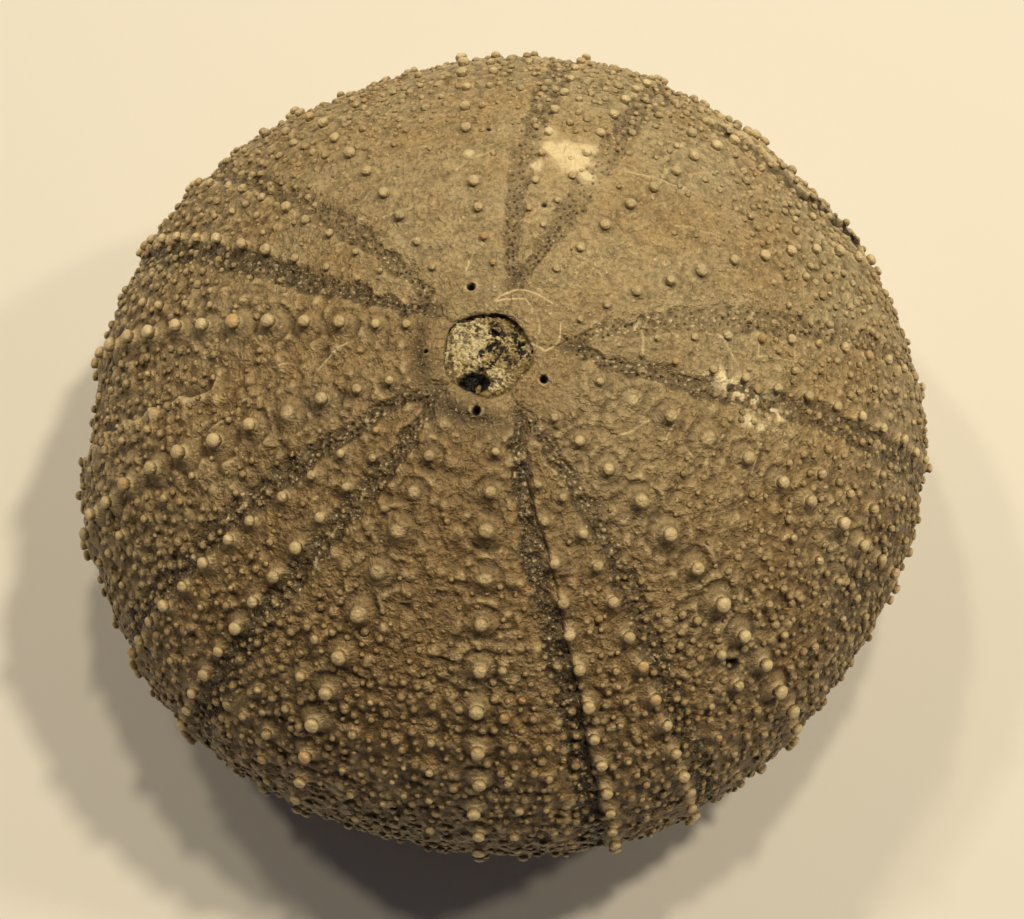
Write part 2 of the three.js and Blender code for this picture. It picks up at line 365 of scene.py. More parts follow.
def ring_lumps():
    """Low headless lumps: a ring of nine to twelve round each large tubercle of the wide plates,
    at even turns about three head radii out, with some scatter, and others strewn at random
    over the whole shell, more of them at the front."""
    rows = []
    for s, azimuth, size in PRIMARY[:, :3]:
        count = int(dice.integers(9, 13))
        turn = (np.arange(count) + dice.random()) * 2 * np.pi / count
        turn = turn + dice.normal(0.0, 0.15, count)
        reach = (3.05 * size + 0.16) * dice.uniform(0.92, 1.2, count)
        place = s + reach * np.cos(turn)
        around = azimuth + np.degrees(reach * np.sin(turn) / radius_at(s))
        rows.append(np.column_stack([place, around, dice.uniform(0.2, 0.38, count)]))
    place = dice.uniform(6.0, MOUTH_EDGE - 2.0, 7600)
    around = dice.uniform(0.0, 360.0, len(place))
    share = radius_at(place) / TEST_RADIUS * (0.25 + 0.75 * spared(around))
    strewn = np.column_stack([place, around, dice.uniform(0.16, 0.40, len(place))])
    strewn = strewn[dice.random(len(place)) < share]
    clear = (apart(strewn, LARGE) > 2.6 * LARGE[None, :, 2]).all(axis=1)
    rows = np.concatenate([np.concatenate(rows), strewn[clear] * (1.0, 1.0, 0.9)])
    return with_bosses(rows[rows[:, 0] > 6.2], 0.66)


LUMPS = ring_lumps()


# ------------------------------------------------------------------ pores of the tube feet
# Each plate of an ambulacrum has three pairs of pores in a short arc. Most are packed with
# dark silt, and in places with sparkling calcite.
PORES_BRIGHT = [0.45, 0.03, 0.15, 0.3, 0.4]  # share of each ambulacrum's pores that sparkle


def pores_of(k):
    """Rows of (distance, azimuth, brightness) of one ambulacrum's pores, in arcs of three pairs
    across each pore zone, each pair set a little aslant."""
    rows = []
    for side in (-1, 1):
        s, turn = 5.55, 0
        while s < MOUTH_EDGE - 1.0:
            width = pore_zone_width(s)
            arc = (-0.28, 0.02, 0.26)[turn % 3] * smooth_step(8.0, 14.0, s) * width
            r = radius_at(s)
            for end in (-1, 1):
                across = arc + end * 0.16 * width + dice.normal(0.0, 0.07)
                place = s - end * 0.12 + dice.normal(0.0, 0.07)
                azimuth = ambulacrum_middle(k, s) + side * (pore_line(s) + np.degrees(across / r))
                bright = float(dice.random() < PORES_BRIGHT[k])
                rows.append((place, float(azimuth), bright))
            s += (0.42 + 0.10 * smooth_step(7.0, 20.0, s)) * dice.uniform(0.8, 1.2)
            turn += 1
    return np.array(rows)


PORES = [pores_of(k) for k in range(5)]


# ------------------------------------------------------------------ relief of the stone
# The finished surface is the smooth test with its bosses, sutures, pores, cracks and wear
# raised or sunk along the normal. The same sums also say where silt lies in the hollows,
# darkened further with painted shade, where the stone is rubbed pale and given painted
# highlights on what stands proud, and where calcite sparkles.
# Several marks carry painted light besides the stone's own colour: the darkening of hollows, gaps and
# the front is partly painted shade, and the paling of raised parts partly painted highlight.
MARKS = ("dark_and_shade", "wear_and_highlight", "pore", "grey", "glint", "crack_and_shade", "vein", "soil_and_shade")


def strengthen(marks, name, values, part=...):
    """Raises a mark, or a part of it, to the given values wherever they are higher."""
    marks[name][part] = np.maximum(marks[name][part], values)


def window(rows, azimuths, s, azimuth, reach):
    """The part of a grid within reach of a place: slices of its rows and columns, with the
    distances down and across in mm, or None when the place is off the grid."""
    top, end = np.searchsorted(rows, (s - reach, s + reach))
    if top >= end:
        return None
    middle = azimuths[min((top + end) // 2, len(rows) - 1)]
    turn = np.degrees(reach / radius_at(s)) * 1.1
    centre = turn_from(middle[0], azimuth) + middle[0]
    left, right = np.searchsorted(middle, (centre - turn, centre + turn))
    if left >= right:
        return None
    part = (slice(top, end), slice(left, right))
    down = rows[top:end, None] - s
    across = radius_at(s) * np.radians(azimuths[part] - centre)
    return part, down, across


def within_reach(table, azimuths):
    """The rows of a table that stand on or near a patch."""
    middle = 0.5 * (azimuths[:, 0].mean() + azimuths[:, -1].mean())
    turn = turn_from(middle, table[:, 1])
    return table[np.abs(turn) < 0.5 * (azimuths[:, -1] - azimuths[:, 0]).max() + 12.0]


def standing(table, rows, azimuths, reach):
    """The tubercles of a table that stand on a grid: head radius, boss height, and the window
    that reaches so many head radii."""
    for s, azimuth, size, boss in within_reach(table, azimuths):
        found = window(rows, azimuths, s, azimuth, size * reach)
        if found is not None:
            yield size, boss, *found


def raise_bosses(rows, azimuths, ragged, height, marks):
    """Bosses: each head stands on a cone with hollow flanks. A shallow moat and an uneven rim lie
    round a large one, darkened with silt and painted shade at the head's foot and in the moat.
    Where bosses and lumps overlap, the higher one counts."""
    relief = np.zeros(height.shape)
    marks["boss"] = np.zeros(height.shape)
    small = np.concatenate([LUMPS, GRANULES])
    for size, boss, part, down, across in standing(small, rows, azimuths, 1.9):
        away = np.hypot(down, across) * (1.25 - 0.5 * ragged[part]) / (1.9 * size)
        dome = boss * np.clip(1.0 - away**2, 0.0, 1.0) ** 1.3
        relief[part] = np.maximum(relief[part], dome)
    for size, boss, part, down, across in standing(MIDDLING, rows, azimuths, 2.2):
        away = (np.hypot(down, across) - 0.7 * size) / (1.45 * size)
        relief[part] = np.maximum(relief[part], boss * (1.0 - np.clip(away, 0, 1)) ** 1.5)
    for size, boss, part, down, across in standing(LARGE, rows, azimuths, 3.9):
        away = np.hypot(down, across)
        flank = np.clip((away - 0.7 * size) / (1.8 * size), 0, 1)
        rim = 0.13 * boss * bell(away - 3.05 * size, 0.24)
        moat = 0.16 * boss * bell(away - 2.45 * size, 0.26)
        low = rim * (1.6 * ragged[part] - 0.2) - moat
        relief[part] = np.maximum(relief[part] + low, boss * (1.0 - flank) ** 1.5)
        smooth = 1.0 - smooth_step(1.9 * size, 2.7 * size, away)
        strengthen(marks, "boss", smooth, part)
        pale = 0.07 * smooth * (1.0 - smooth_step(2.0 * size, 2.5 * size, away))
        strengthen(marks, "wear_and_highlight", pale, part)
        crisp = 0.35 + 0.65 * float(smooth_step(0.5, 1.0, boss / size))
        # a dark collar at the head's foot and a dark ring in the moat: silt, and painted shade below
        # the head
        collar = bell(away - 1.15 * size, 0.3 * size)
        collar *= 0.75 * (0.4 + 0.6 * crisp)
        ring = 0.42 * crisp * bell(away - 2.6 * size, 0.4 * size)
        collar = np.maximum(collar, ring)
        strengthen(marks, "dark_and_shade", collar, part)
    for s, azimuth in PRIMARY[BROKEN, :2]:
        found = window(rows, azimuths, s, azimuth, 1.2)
        if found is not None:
            part, down, across = found
            scar = np.exp(-((np.hypot(down, across) / 0.42) ** 4)) * (0.5 + 0.5 * ragged[part])
            strengthen(marks, "wear_and_highlight", 0.8 * scar, part)
    height += relief


def sink_pores(k, rows, azimuths, height, marks):
    """Pores: small bell-shaped pits, or bright grains where calcite fills them."""
    for s, azimuth, bright in PORES[k]:
        found = window(rows, azimuths, s, azimuth, 0.42)
        if found is None:
            continue
        part, down, across = found
        away = np.hypot(down, across)
        pit = bell(away, 0.09)
        height[part] -= (0.13 - 0.2 * bright) * pit
        if bright:
            spark = 0.85 * bell(away, 0.065)
            strengthen(marks, "glint", spark, part)
        else:
            dark = 0.85 * np.exp(-((away / 0.085) ** 3))
            strengthen(marks, "pore", dark, part)


def blurred(field, down, across):
    """A field averaged over a box of grid cells, by differences of its running sums."""
    padded = np.pad(field, ((down + 1, down), (across + 1, across)), mode="edge")
    sums = padded.cumsum(0).cumsum(1)
    high, wide = field.shape
    tall, broad = 2 * down + 1, 2 * across + 1
    block = (
        sums[tall : tall + high, broad : broad + wide]
        - sums[:high, broad : broad + wide]
        - sums[tall : tall + high, :wide]
        + sums[:high, :wide]
    )
    return block / (tall * broad)


def near_path(s, azimuth, path):
    """Shortest distance in mm from each point to a line through places on the shell."""
    best = np.full(s.shape, 99.0)
    r = radius_at(s)
    for (s0, a0), (s1, a1) in zip(path[:-1], path[1:]):
        x = r * np.radians(turn_from(a0, azimuth))
        end_x = r * np.radians(a1 - a0)
        rise = s1 - s0
        share = np.clip((x * end_x + (s - s0) * rise) / (end_x**2 + rise**2), 0.0, 1.0)
        best = np.minimum(best, np.hypot(x - share * end_x, s - s0 - share * rise))
    return best


def near_place(s, azimuth, place_s, place_azimuth):
    """The same distance to one place, given as a path a fiftieth of a millimetre long."""
    return near_path(s, azimuth, [(place_s, place_azimuth), (place_s + 0.02, place_azimuth)])


ZONE_ASH = [(0.75, 0.4), (0.5, 0.5), (0.6, 1.0), (0.95, 0.95), (1.1, 0.85)]  # low and high side


def pore_zone(k, s, azimuth, ragged):
    """How far each place lies in one of an ambulacrum's two pore zones, from 0 to 1, with an
    uneven border, and how much ash there is in that zone."""
    r = radius_at(s)
    turn = turn_from(ambulacrum_middle(k, s), azimuth)
    out = r * np.radians(np.abs(turn) - pore_line(s))
    border = np.abs(out + 0.5 * (ragged - 0.5)) / pore_zone_width(s)
    inside = (1.0 - smooth_step(0.34, 0.72, border)) * smooth_step(DISC_EDGE, 6.0, s)
    return inside, inside * np.where(turn < 0.0, *ZONE_ASH[k % 5])


def sink_zone(k, s, azimuth, points, ragged, height, marks):
    """A pore zone lies lower than the plates beside it, is rough and pitted, and ashen."""
    inside, ash = pore_zone(k, s, azimuth, ragged)
    rough = stone_noise(points, 0.42, 51) + 0.8 * stone_noise(points, 0.24, 52)
    height += inside * (0.09 * rough - 0.16)
    strengthen(marks, "grey", ash * np.clip(0.85 + 0.2 * rough, 0.0, 1.0))
    sparkle = smooth_step(0.8, 1.2, stone_noise(points, 0.27, 53) + 0.5 * rough)
    strengthen(marks, "glint", 1.3 * PORES_BRIGHT[k % 5] * sparkle * inside)


# pale hairline veins, as places along each: distance from the apex, and azimuth
SLIVER_EDGES = [
    [(3.5, 90), (4.6, 70), (5.0, 40)],
    [(3.4, 90), (4.1, 60), (3.4, 35), (3.0, 20)],
    [(2.5, 8), (3.4, -3), (4.3, 8), (4.8, 22)],
]
VEINS = SLIVER_EDGES + [
    [(6, 110), (9, 87)],
    [(9, 78), (12, 68)],
    [(14.5, 102), (16.5, 88)],
    [(13, 128), (12, 110)],
    [(17.5, 58), (20, 43)],
    [(16.5, 39), (19, 32)],
    [(9, 317), (11.5, 336)],
    [(15.5, 8), (16.5, 1)],
    [(18.5, 7), (18.5, 3), (21.5, 3), (21.5, 7)],
    [(10, 14), (10, -3)],
    [(16, 333), (16.5, 342)],
    [(19.5, 337), (19, 346)],
    [(14.5, 307), (14.5, 318)],
    [(13, 332), (13, 343)],
    [(18.5, 183), (14.5, 181)],
    [(12.5, 187), (10, 176)],
    [(21.5, 193), (16, 187)],
]
# short open cracks beside lifted edges of plates
LEDGES = [
    [(18.5, 244), (18, 254)],
    [(16.5, 247), (14.5, 253)],
    [(15.5, 254), (16, 266)],
    [(13, 236), (13.5, 244)],
    [(21, 257), (21.5, 263)],
    [(22, 209), (34, 211)],
]
# a break near the right back edge, where the rim beyond it stands proud, with a painted shadow line in
# its gap, and a dark smear
RIM_BREAK = [(37, 28), (31, 36), (31, 45), (29.5, 53)]
SMEAR = [(35, 341), (34, 329)]
CRACK_AZIMUTH = 283.6
CRACK_ENDS = (6.8, 38.0)
CHALK = [(15, 357), (17.5, 353), (20, 350.5)]
# round chalky flecks and open holes: distance, azimuth and radius of each
CHALK_FLECKS = [(18, 347.5, 0.45), (19, 347, 0.35), (16.5, 70, 1.4), (15.5, 65, 0.8)]
CHALK_FLECKS += [(17, 77, 0.6), (18.5, 78, 0.5), (18, 68.5, 0.6), (15, 79, 0.45), (17, 73, 1.0)]
PIN_HOLES = [
    (18.5, 92, 0.16),
    (11.5, 73, 0.17),
    (12, 62, 0.09),
    (9, 55, 0.07),
    (28, 309.5, 0.42),
    (27.5, 308.5, 0.26),
    (38.5, 28, 0.5),
    (41.5, 348, 0.55),
]


def on_flank(azimuth):
    """1 at the middle of the right flank, which is dirty and lies in painted shade, by a bell curve of
    the azimuth.
    """
    return bell(turn_from(331.0, azimuth), 30.0)


def soiling_and_shade(s, azimuth):
    """How far the stone is darkened, about 0 to 1, by soil and by painted shade away from the lamps:
    by a cosine from the back to the front, and more on the right flank."""
    facing = np.cos(np.radians(azimuth - 65.0)) * smooth_step(-2.0, 12.0, s)
    return 0.5 - 0.5 * facing + 0.3 * on_flank(azimuth) * smooth_step(18.0, 36.0, s)


def weather(s, azimuth, points, height, marks):
    """What time did to the whole stone: slow swells, wrinkles and grain from noise, the open
    crack, pale veins, lifted edges, chalky patches and pin holes. Painted shade goes with them:
    in the gaps and holes, along the foot of the right flank, on the front side of the disc and,
    with the soil, towards the front."""
    swell = stone_noise(points, 6.0, 1)
    ripple = stone_noise(points, 1.9, 2)
    grain = stone_noise(points, 0.75, 3)
    fine = stone_noise(points, 0.36, 4)
    fresh = freshness(s, azimuth)
    wrinkle = 0.5 - np.abs(stone_noise(points, 1.15, 9)) - 0.6 * np.abs(grain)
    rough = 1.0 - 0.85 * marks.pop("boss", 0.0)
    height += 0.10 * swell + 0.05 * ripple + (0.03 + 0.13 * fresh) * wrinkle * rough
    height += (0.012 + 0.028 * fresh) * fine * rough

    jag = 0.10 * stone_noise(points, 1.1, 6) + 0.07 * stone_noise(points, 0.45, 8)
    wander = 0.30 * stone_noise(points, 3.5, 5) + jag
    across = radius_at(s) * np.radians(turn_from(CRACK_AZIMUTH, azimuth)) + wander
    along = smooth_step(CRACK_ENDS[0], CRACK_ENDS[0] + 4.0, s)
    along = along * (1.0 - smooth_step(CRACK_ENDS[1] - 3.0, CRACK_ENDS[1], s))
    gape = np.maximum(0.04 + 0.035 * stone_noise(points, 2.0, 7), 0.02)
    crack_and_shade = along * bell(across, gape)
    height -= 0.12 * crack_and_shade
    height -= 0.16 * along * smooth_step(0.25, -0.05, across) * np.exp(-np.abs(across) / 1.5)
    broken_up = np.clip(0.72 + 0.7 * stone_noise(points, 1.6, 10), 0.25, 0.92)
    strengthen(marks, "crack_and_shade", broken_up * crack_and_shade)

    for path in VEINS:
        strong = 0.95 if path in SLIVER_EDGES else 0.55
        away = near_path(s + 0.2 * ripple, azimuth + 0.8 * grain, path)
        vein = bell(away, 0.065) * np.clip(strong + 0.8 * grain + 0.5 * ripple, 0, 1)
        strengthen(marks, "vein", vein)
        height += 0.03 * vein
    for path in LEDGES:
        away = near_path(s + 0.25 * ripple, azimuth + 1.2 * grain, path)
        below = s - np.mean([place[0] for place in path])
        lift = bell(away, 0.9) * smooth_step(0.15, -0.15, below)
        height += 0.14 * lift
        crack = bell(away, 0.06) * np.clip(0.3 + 1.2 * grain, 0, 1)
        strengthen(marks, "crack_and_shade", 0.7 * crack)
        height -= 0.10 * crack

    away = near_path(s, azimuth + 0.6 * grain, RIM_BREAK)
    places = np.array(RIM_BREAK).T
    beyond = s + 0.3 * ripple - np.interp(azimuth % 360.0, places[1], places[0])
    height += 0.5 * bell(away, 1.5) * smooth_step(-0.05, 0.2, beyond)
    # a dark line along the break: painted shadow of the proud rim in its gap
    gap = bell(away, 0.14 + 0.16 * smooth_step(31.5, 36.0, s))
    gap = gap * np.clip(0.55 + 0.6 * ripple + 0.5 * smooth_step(31.5, 34.0, s), 0.0, 0.95)
    strengthen(marks, "crack_and_shade", gap)
    height -= 0.15 * gap
    away = near_path(s + 0.5 * ripple, azimuth + 0.6 * grain, SMEAR)
    smear = bell(away, 1.9) * np.clip(0.9 + 1.0 * grain + 0.6 * ripple, 0, 1)
    # a dark band along the foot of the right flank: dirt, and painted shade away from the lamps
    low_flank = on_flank(azimuth) * smooth_step(32.0, 39.0, s) * np.clip(0.7 + 0.8 * grain, 0, 1)
    smear = np.maximum(smear, 0.5 * low_flank)
    strengthen(marks, "dark_and_shade", smear)
    strengthen(marks, "grey", 0.8 * smear)

    chalk_away = near_path(s, azimuth, CHALK)
    spotty = smooth_step(0.0, 0.22, fine + 0.5 * grain - 0.05)
    strengthen(marks, "glint", bell(chalk_away, 0.75) * spotty)
    for place_s, place_azimuth, size in CHALK_FLECKS:
        away = near_place(s, azimuth, place_s, place_azimuth)
        ragged = away / size + 0.35 * grain + 0.22 * ripple + 0.35 * fine
        strengthen(marks, "glint", 0.7 * (1.0 - smooth_step(0.55, 1.3, ragged)))
        halo = 0.4 * bell(away, 1.9 * size) * (size > 0.4)
        strengthen(marks, "wear_and_highlight", halo)
    # pin holes are coloured dark: painted shade inside each hole
    for place_s, place_azimuth, size in PIN_HOLES:
        away = near_place(s, azimuth, place_s, place_azimuth)
        dark = 1.0 - smooth_step(0.8, 1.4, away / size + 0.4 * fine * (size > 0.2))
        strengthen(marks, "pore", dark)
        height -= 1.2 * size * bell(away, size)
    for k in range(5):
        tip = float(ambulacrum_middle(k, 5.0))
        away = near_path(s, azimuth, [(4.9, tip), (5.9, tip)])
        strengthen(marks, "grey", 0.9 * bell(away, 0.7))
        height -= 0.2 * bell(away, 0.5)
    # painted shade on the front-left side of the disc, away from the lamps
    shaded_side = smooth_step(0.45, 0.95, 0.5 + 0.5 * np.cos(np.radians(azimuth - 222.0)))
    disc_shade = shaded_side * bell(s - 5.1, 0.75) * np.clip(0.75 + 0.5 * ripple, 0, 1)
    strengthen(marks, "grey", 0.8 * disc_shade)
    strengthen(marks, "dark_and_shade", 0.75 * disc_shade)
    # soil, and painted shade towards the front and the right flank
    marks["soil_and_shade"] = np.clip(soiling_and_shade(s, azimuth) + 0.16 * swell + 0.10 * ripple, 0.0, 1.0)


def finish_marks(height, marks, down, across):
    """Silt and painted shade darken where the relief lies under its surroundings, near and wide,
    and rubbing with a painted highlight pales what stands above them."""
    low = (blurred(height, down, across) - height) / 0.10
    wide = (blurred(height, 2 * down, 2 * across) - height) / 0.26
    darkening = 0.56 * np.clip(low, 0, 1) + 0.5 * np.clip(wide, 0, 1)
    marks["dark_and_shade"] = np.clip(np.maximum(marks["dark_and_shade"], darkening), 0.0, 1.0)
    # raised parts paled by wear and by a painted highlight
    risen = 0.26 * np.clip(-wide - 0.2, 0.0, 1.0) + 0.34 * np.clip(-low - 0.3, 0.0, 1.0)
    marks["wear_and_highlight"] = np.clip(np.maximum(marks["wear_and_highlight"], risen), 0.0, 1.0)


MARGIN = 10  # rows and columns worked out beyond a patch's edges, so that neighbours agree there


def trimmed(field):
    """A grid without its margins."""
    return field[MARGIN:, MARGIN:-MARGIN]


SEATS = {"large": np.zeros(len(LARGE)), "middling": np.zeros(len(MIDDLING))}
SEATS["granule"] = np.zeros(len(GRANULES))


def note_seats(rows, azimuths, height):
    """Remembers how high the stone stands under each head, so that the heads sit on it."""
    for kind, table in (("large", LARGE), ("middling", MIDDLING), ("granule", GRANULES)):
        row = np.clip(np.searchsorted(rows, table[:, 0]), 0, len(rows) - 1)
        left, right = azimuths[row, 0], azimuths[row, -1]
        share = turn_from(0.5 * (left + right), table[:, 1]) / (right - left) + 0.5
        here = (share >= 0.0) & (share <= 1.0)
        column = np.rint(share[here] * (azimuths.shape[1] - 1)).astype(int)
        SEATS[kind][here] = height[row[here], column]


# ------------------------------------------------------------------ one body of stone from a grid
def put_in(name, data):
    """Puts a thing made from a mesh, a light or a camera into the scene."""
    thing = bpy.data.objects.new(name, data)
    bpy.context.scene.collection.objects.link(thing)
    return thing


def piece_of_stone(name, points, quads, triangles, rounded, layout, marks, material, normals=None):
    """Puts one closed piece in from arrays: points in mm, faces of four and of three corners,
    which of them are shaded round, the picture layout, and every mark's value at each point."""
    mesh = bpy.data.meshes.new(name)
    mesh.vertices.add(len(points))
    mesh.vertices.foreach_set("co", (points * MM).ravel())
    corners = np.concatenate([quads.ravel(), triangles.ravel()]).astype(np.int32)
    mesh.loops.add(len(corners))
    mesh.loops.foreach_set("vertex_index", corners)
    starts = np.concatenate(
        [np.arange(len(quads)) * 4, len(quads) * 4 + np.arange(len(triangles)) * 3]
    )
    mesh.polygons.add(len(starts))
    mesh.polygons.foreach_set("loop_start", starts.astype(np.int32))
    mesh.polygons.foreach_set("use_smooth", rounded)
    mesh.uv_layers.new(name="OFBake").data.foreach_set("uv", layout.ravel())
    for mark, values in marks.items():
        layer = mesh.attributes.new(mark, "FLOAT", "POINT")
        layer.data.foreach_set("value", values.astype(np.float32).ravel())
    mesh.update(calc_edges=True)
    mesh.validate()
    if normals is not None:
        mesh.normals_split_custom_set_from_vertices(normals.tolist())
    mesh.materials.append(material)
    piece = put_in(name, mesh)
    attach(piece, "root")
    return piece


def body_from_grid(name, grid, core, marks, material, wraps=False, normals=None):
    """A closed body. Its skin is the grid of points, rows running down and columns round; every
    open edge is joined to one core point by flat triangles. A picture layout goes with it: the
    skin fills the square above a strip that holds the walls. Normals worked out over a wider
    grid make the shading run on across the seam to the next body."""
    high, wide = grid.shape[:2]
    index = np.arange(high * wide).reshape(high, wide)
    middle = high * wide
    right = np.roll(index, -1, axis=1) if wraps else index[:, 1:]
    left = index if wraps else index[:, :-1]
    quads = np.stack([left[:-1], left[1:], right[1:], right[:-1]], axis=-1).reshape(-1, 4)
    edges = [(left[0], right[0]), (right[-1], left[-1])]
    if not wraps:
        edges += [(index[1:, 0], index[:-1, 0]), (index[:-1, -1], index[1:, -1])]
    walls = [np.stack([a, b, np.full(len(a), middle)], axis=1) for a, b in edges]
    walls = np.concatenate(walls)

    points = np.concatenate([grid.reshape(-1, 3), np.array(core, dtype=float)[None]])
    rounded = np.concatenate([np.ones(len(quads), bool), np.zeros(len(walls), bool)])

    row, column = np.meshgrid(np.arange(high - 1), np.arange(left.shape[1]), indexing="ij")
    u = np.stack([column, column, column + 1, column + 1], axis=-1) / left.shape[1]
    v = np.stack([row, row + 1, row + 1, row], axis=-1) / (high - 1)
    skin = np.stack([0.01 + 0.98 * u, 0.99 - 0.93 * v], axis=-1).reshape(-1, 2)
    place = np.arange(len(walls)) / len(walls)
    step = 1.0 / len(walls)
    strip = np.stack(
        [
            np.stack([place, np.full_like(place, 0.045)], axis=-1),
            np.stack([place + 0.9 * step, np.full_like(place, 0.045)], axis=-1),
            np.stack([place + 0.45 * step, np.full_like(place, 0.01)], axis=-1),
        ],
        axis=1,
    ).reshape(-1, 2)
    layout = np.concatenate([skin, strip])
    marks = {mark: np.append(values.ravel(), 0.0) for mark, values in marks.items()}
    if normals is not None:
        normals = np.concatenate([normals.reshape(-1, 3), [[0.0, 0.0, 1.0]]])
    return piece_of_stone(name, points, quads, walls, rounded, layout, marks, material, normals)


def surface_normals(grid, guide, wraps=False):
    """Unit normals of a grid by the cross product of its two slopes, on the guide's side."""
    if wraps:
        across = np.roll(grid, -1, axis=1) - np.roll(grid, 1, axis=1)
    else:
        across = np.gradient(grid, axis=1)
    normal = np.cross(np.gradient(grid, axis=0), across)
    normal *= np.sign((normal * guide).sum(-1, keepdims=True))
    return normal / np.maximum(np.linalg.norm(normal, axis=-1, keepdims=True), 1e-12)


# ------------------------------------------------------------------ the stone itself
# Weathered calcite: grey-brown and a little waxy where it is rubbed, dark with silt and painted
# shade in every hollow and towards the front, cream on the heads of the tubercles, with painted
# highlights on raised parts and pale specks painted as glints. One finish is used for all of the test.
def linear(red, green, blue):
    """A colour given as display values from 0 to 255, as the shader wants it."""
    c = np.array([red, green, blue]) / 255.0
    c = np.where(c <= 0.04045, c / 12.92, ((c + 0.055) / 1.055) ** 2.4)
    return (*[float(v) for v in c], 1.0)


def blank_material(name):
    """A new material, with its node tree and its main shader."""
    material = bpy.data.materials.new(name)
    material.use_nodes = True
    return material, material.node_tree, material.node_tree.nodes["Principled BSDF"]


def join(tree, socket, value):
    """Gives a socket its value: another socket's output, or a plain number or colour."""
    if isinstance(value, bpy.types.NodeSocket):
        tree.links.new(value, socket)
    else:
        socket.default_value = value


def mixed_colour(tree, share, under, over, blend="MIX"):
    """A Mix node that lays one colour over another by a share from 0 to 1."""
    node = tree.nodes.new("ShaderNodeMix")
    node.data_type = "RGBA"
    node.blend_type = blend
    join(tree, node.inputs[0], share)
    join(tree, node.inputs[6], under)
    join(tree, node.inputs[7], over)
    return node.outputs[2]


def reckoned(tree, operation, a, b=0.0, clamp=False):
    """A Math node on two numbers or sockets."""
    node = tree.nodes.new("ShaderNodeMath")
    node.operation = operation
    node.use_clamp = clamp
    join(tree, node.inputs[0], a)
    join(tree, node.inputs[1], b)
    return node.outputs[0]


def stretched(tree, value, low, high, to_low=0.0, to_high=1.0):
    """A Map Range node from between two levels to 0 and 1, or to two other values."""
    node = tree.nodes.new("ShaderNodeMapRange")
    join(tree, node.inputs["Value"], value)
    node.inputs["From Min"].default_value = low
    node.inputs["From Max"].default_value = high
    node.inputs["To Min"].default_value = to_low
    node.inputs["To Max"].default_value = to_high
    return node.outputs["Result"]


def cloudy(tree, where, scale, detail, distortion=0.0):
    """A noise texture in the object's own metres."""
    node = tree.nodes.new("ShaderNodeTexNoise")
    node.inputs["Scale"].default_value = scale
    node.inputs["Detail"].default_value = detail
    node.inputs["Distortion"].default_value = distortion
    tree.links.new(where, node.inputs["Vector"])
    return node.outputs["Fac"]


def calcite_grain():
    """The node group shared by stone and matrix: three browns mixed by clouds of three sizes,
    fine specks, wandering hairlines where a noise crosses its middle value, and a bump height."""
    group = bpy.data.node_groups.new("calcite grain", "ShaderNodeTree")
    for name in ("Light", "Brown", "Dark"):
        group.interface.new_socket(name, in_out="INPUT", socket_type="NodeSocketColor")
    group.interface.new_socket("Color", in_out="OUTPUT", socket_type="NodeSocketColor")
    for name in ("Speck", "Hairline", "Height"):
        group.interface.new_socket(name, in_out="OUTPUT", socket_type="NodeSocketFloat")
    entry = group.nodes.new("NodeGroupInput")
    leave = group.nodes.new("NodeGroupOutput")
    where = group.nodes.new("ShaderNodeTexCoord").outputs["Object"]
    broad = stretched(group, cloudy(group, where, 150.0, 3.0), 0.36, 0.64)
    patch_noise = cloudy(group, where, 640.0, 5.0, 0.6)
    patch = stretched(group, patch_noise, 0.34, 0.68)
    fine = stretched(group, cloudy(group, where, 3300.0, 5.0, 0.5), 0.36, 0.64)
    speck = stretched(group, cloudy(group, where, 6000.0, 1.0), 0.61, 0.69)
    ground = mixed_colour(group, broad, entry.outputs["Brown"], entry.outputs["Light"])
    shade = reckoned(group, "MULTIPLY", patch, 0.6)
    mottled = mixed_colour(group, shade, ground, entry.outputs["Dark"])
    lit = mixed_colour(group, reckoned(group, "MULTIPLY", fine, 0.45), mottled, entry.outputs["Light"])
    deep = stretched(group, fine, 0.0, 0.45, 0.52, 0.0)
    group.links.new(mixed_colour(group, deep, lit, entry.outputs["Dark"]), leave.inputs["Color"])
    group.links.new(speck, leave.inputs["Speck"])
    wandering = cloudy(group, where, 330.0, 4.0, 1.2)
    crossing = reckoned(group, "ABSOLUTE", reckoned(group, "SUBTRACT", wandering, 0.5))
    line = stretched(group, crossing, 0.0, 0.008, 1.0, 0.0)
    sparse = stretched(group, cloudy(group, where, 210.0, 2.0), 0.44, 0.56)
    group.links.new(reckoned(group, "MULTIPLY", line, sparse), leave.inputs["Hairline"])
    crinkle = reckoned(group, "MULTIPLY", patch_noise, 3.0)
    rough = reckoned(group, "ADD", crinkle, reckoned(group, "MULTIPLY", fine, 0.8))
    group.links.new(rough, leave.inputs["Height"])
    return group


CALCITE_GRAIN = calcite_grain()


def grainy_material(name, light, brown, dark, marks):
    """A new material with the calcite grain in three colours and an outlet for each mark."""
    material, tree, shader = blank_material(name)
    grain = tree.nodes.new("ShaderNodeGroup")
    grain.node_tree = CALCITE_GRAIN
    for socket, colour in (("Light", light), ("Brown", brown), ("Dark", dark)):
        grain.inputs[socket].default_value = linear(*colour)
    mark = {}
    for kind in marks:
        node = tree.nodes.new("ShaderNodeAttribute")
        node.attribute_name = kind
        mark[kind] = node.outputs["Fac"]
    return material, tree, shader, grain.outputs, mark


def crinkled(tree, shader, strength, height):
    """A bump on the shader, over a fifth of a millimetre."""
    bump = tree.nodes.new("ShaderNodeBump")
    bump.inputs["Strength"].default_value = strength
    bump.inputs["Distance"].default_value = 0.0002
    tree.links.new(height, bump.inputs["Height"])
    tree.links.new(bump.outputs["Normal"], shader.inputs["Normal"])


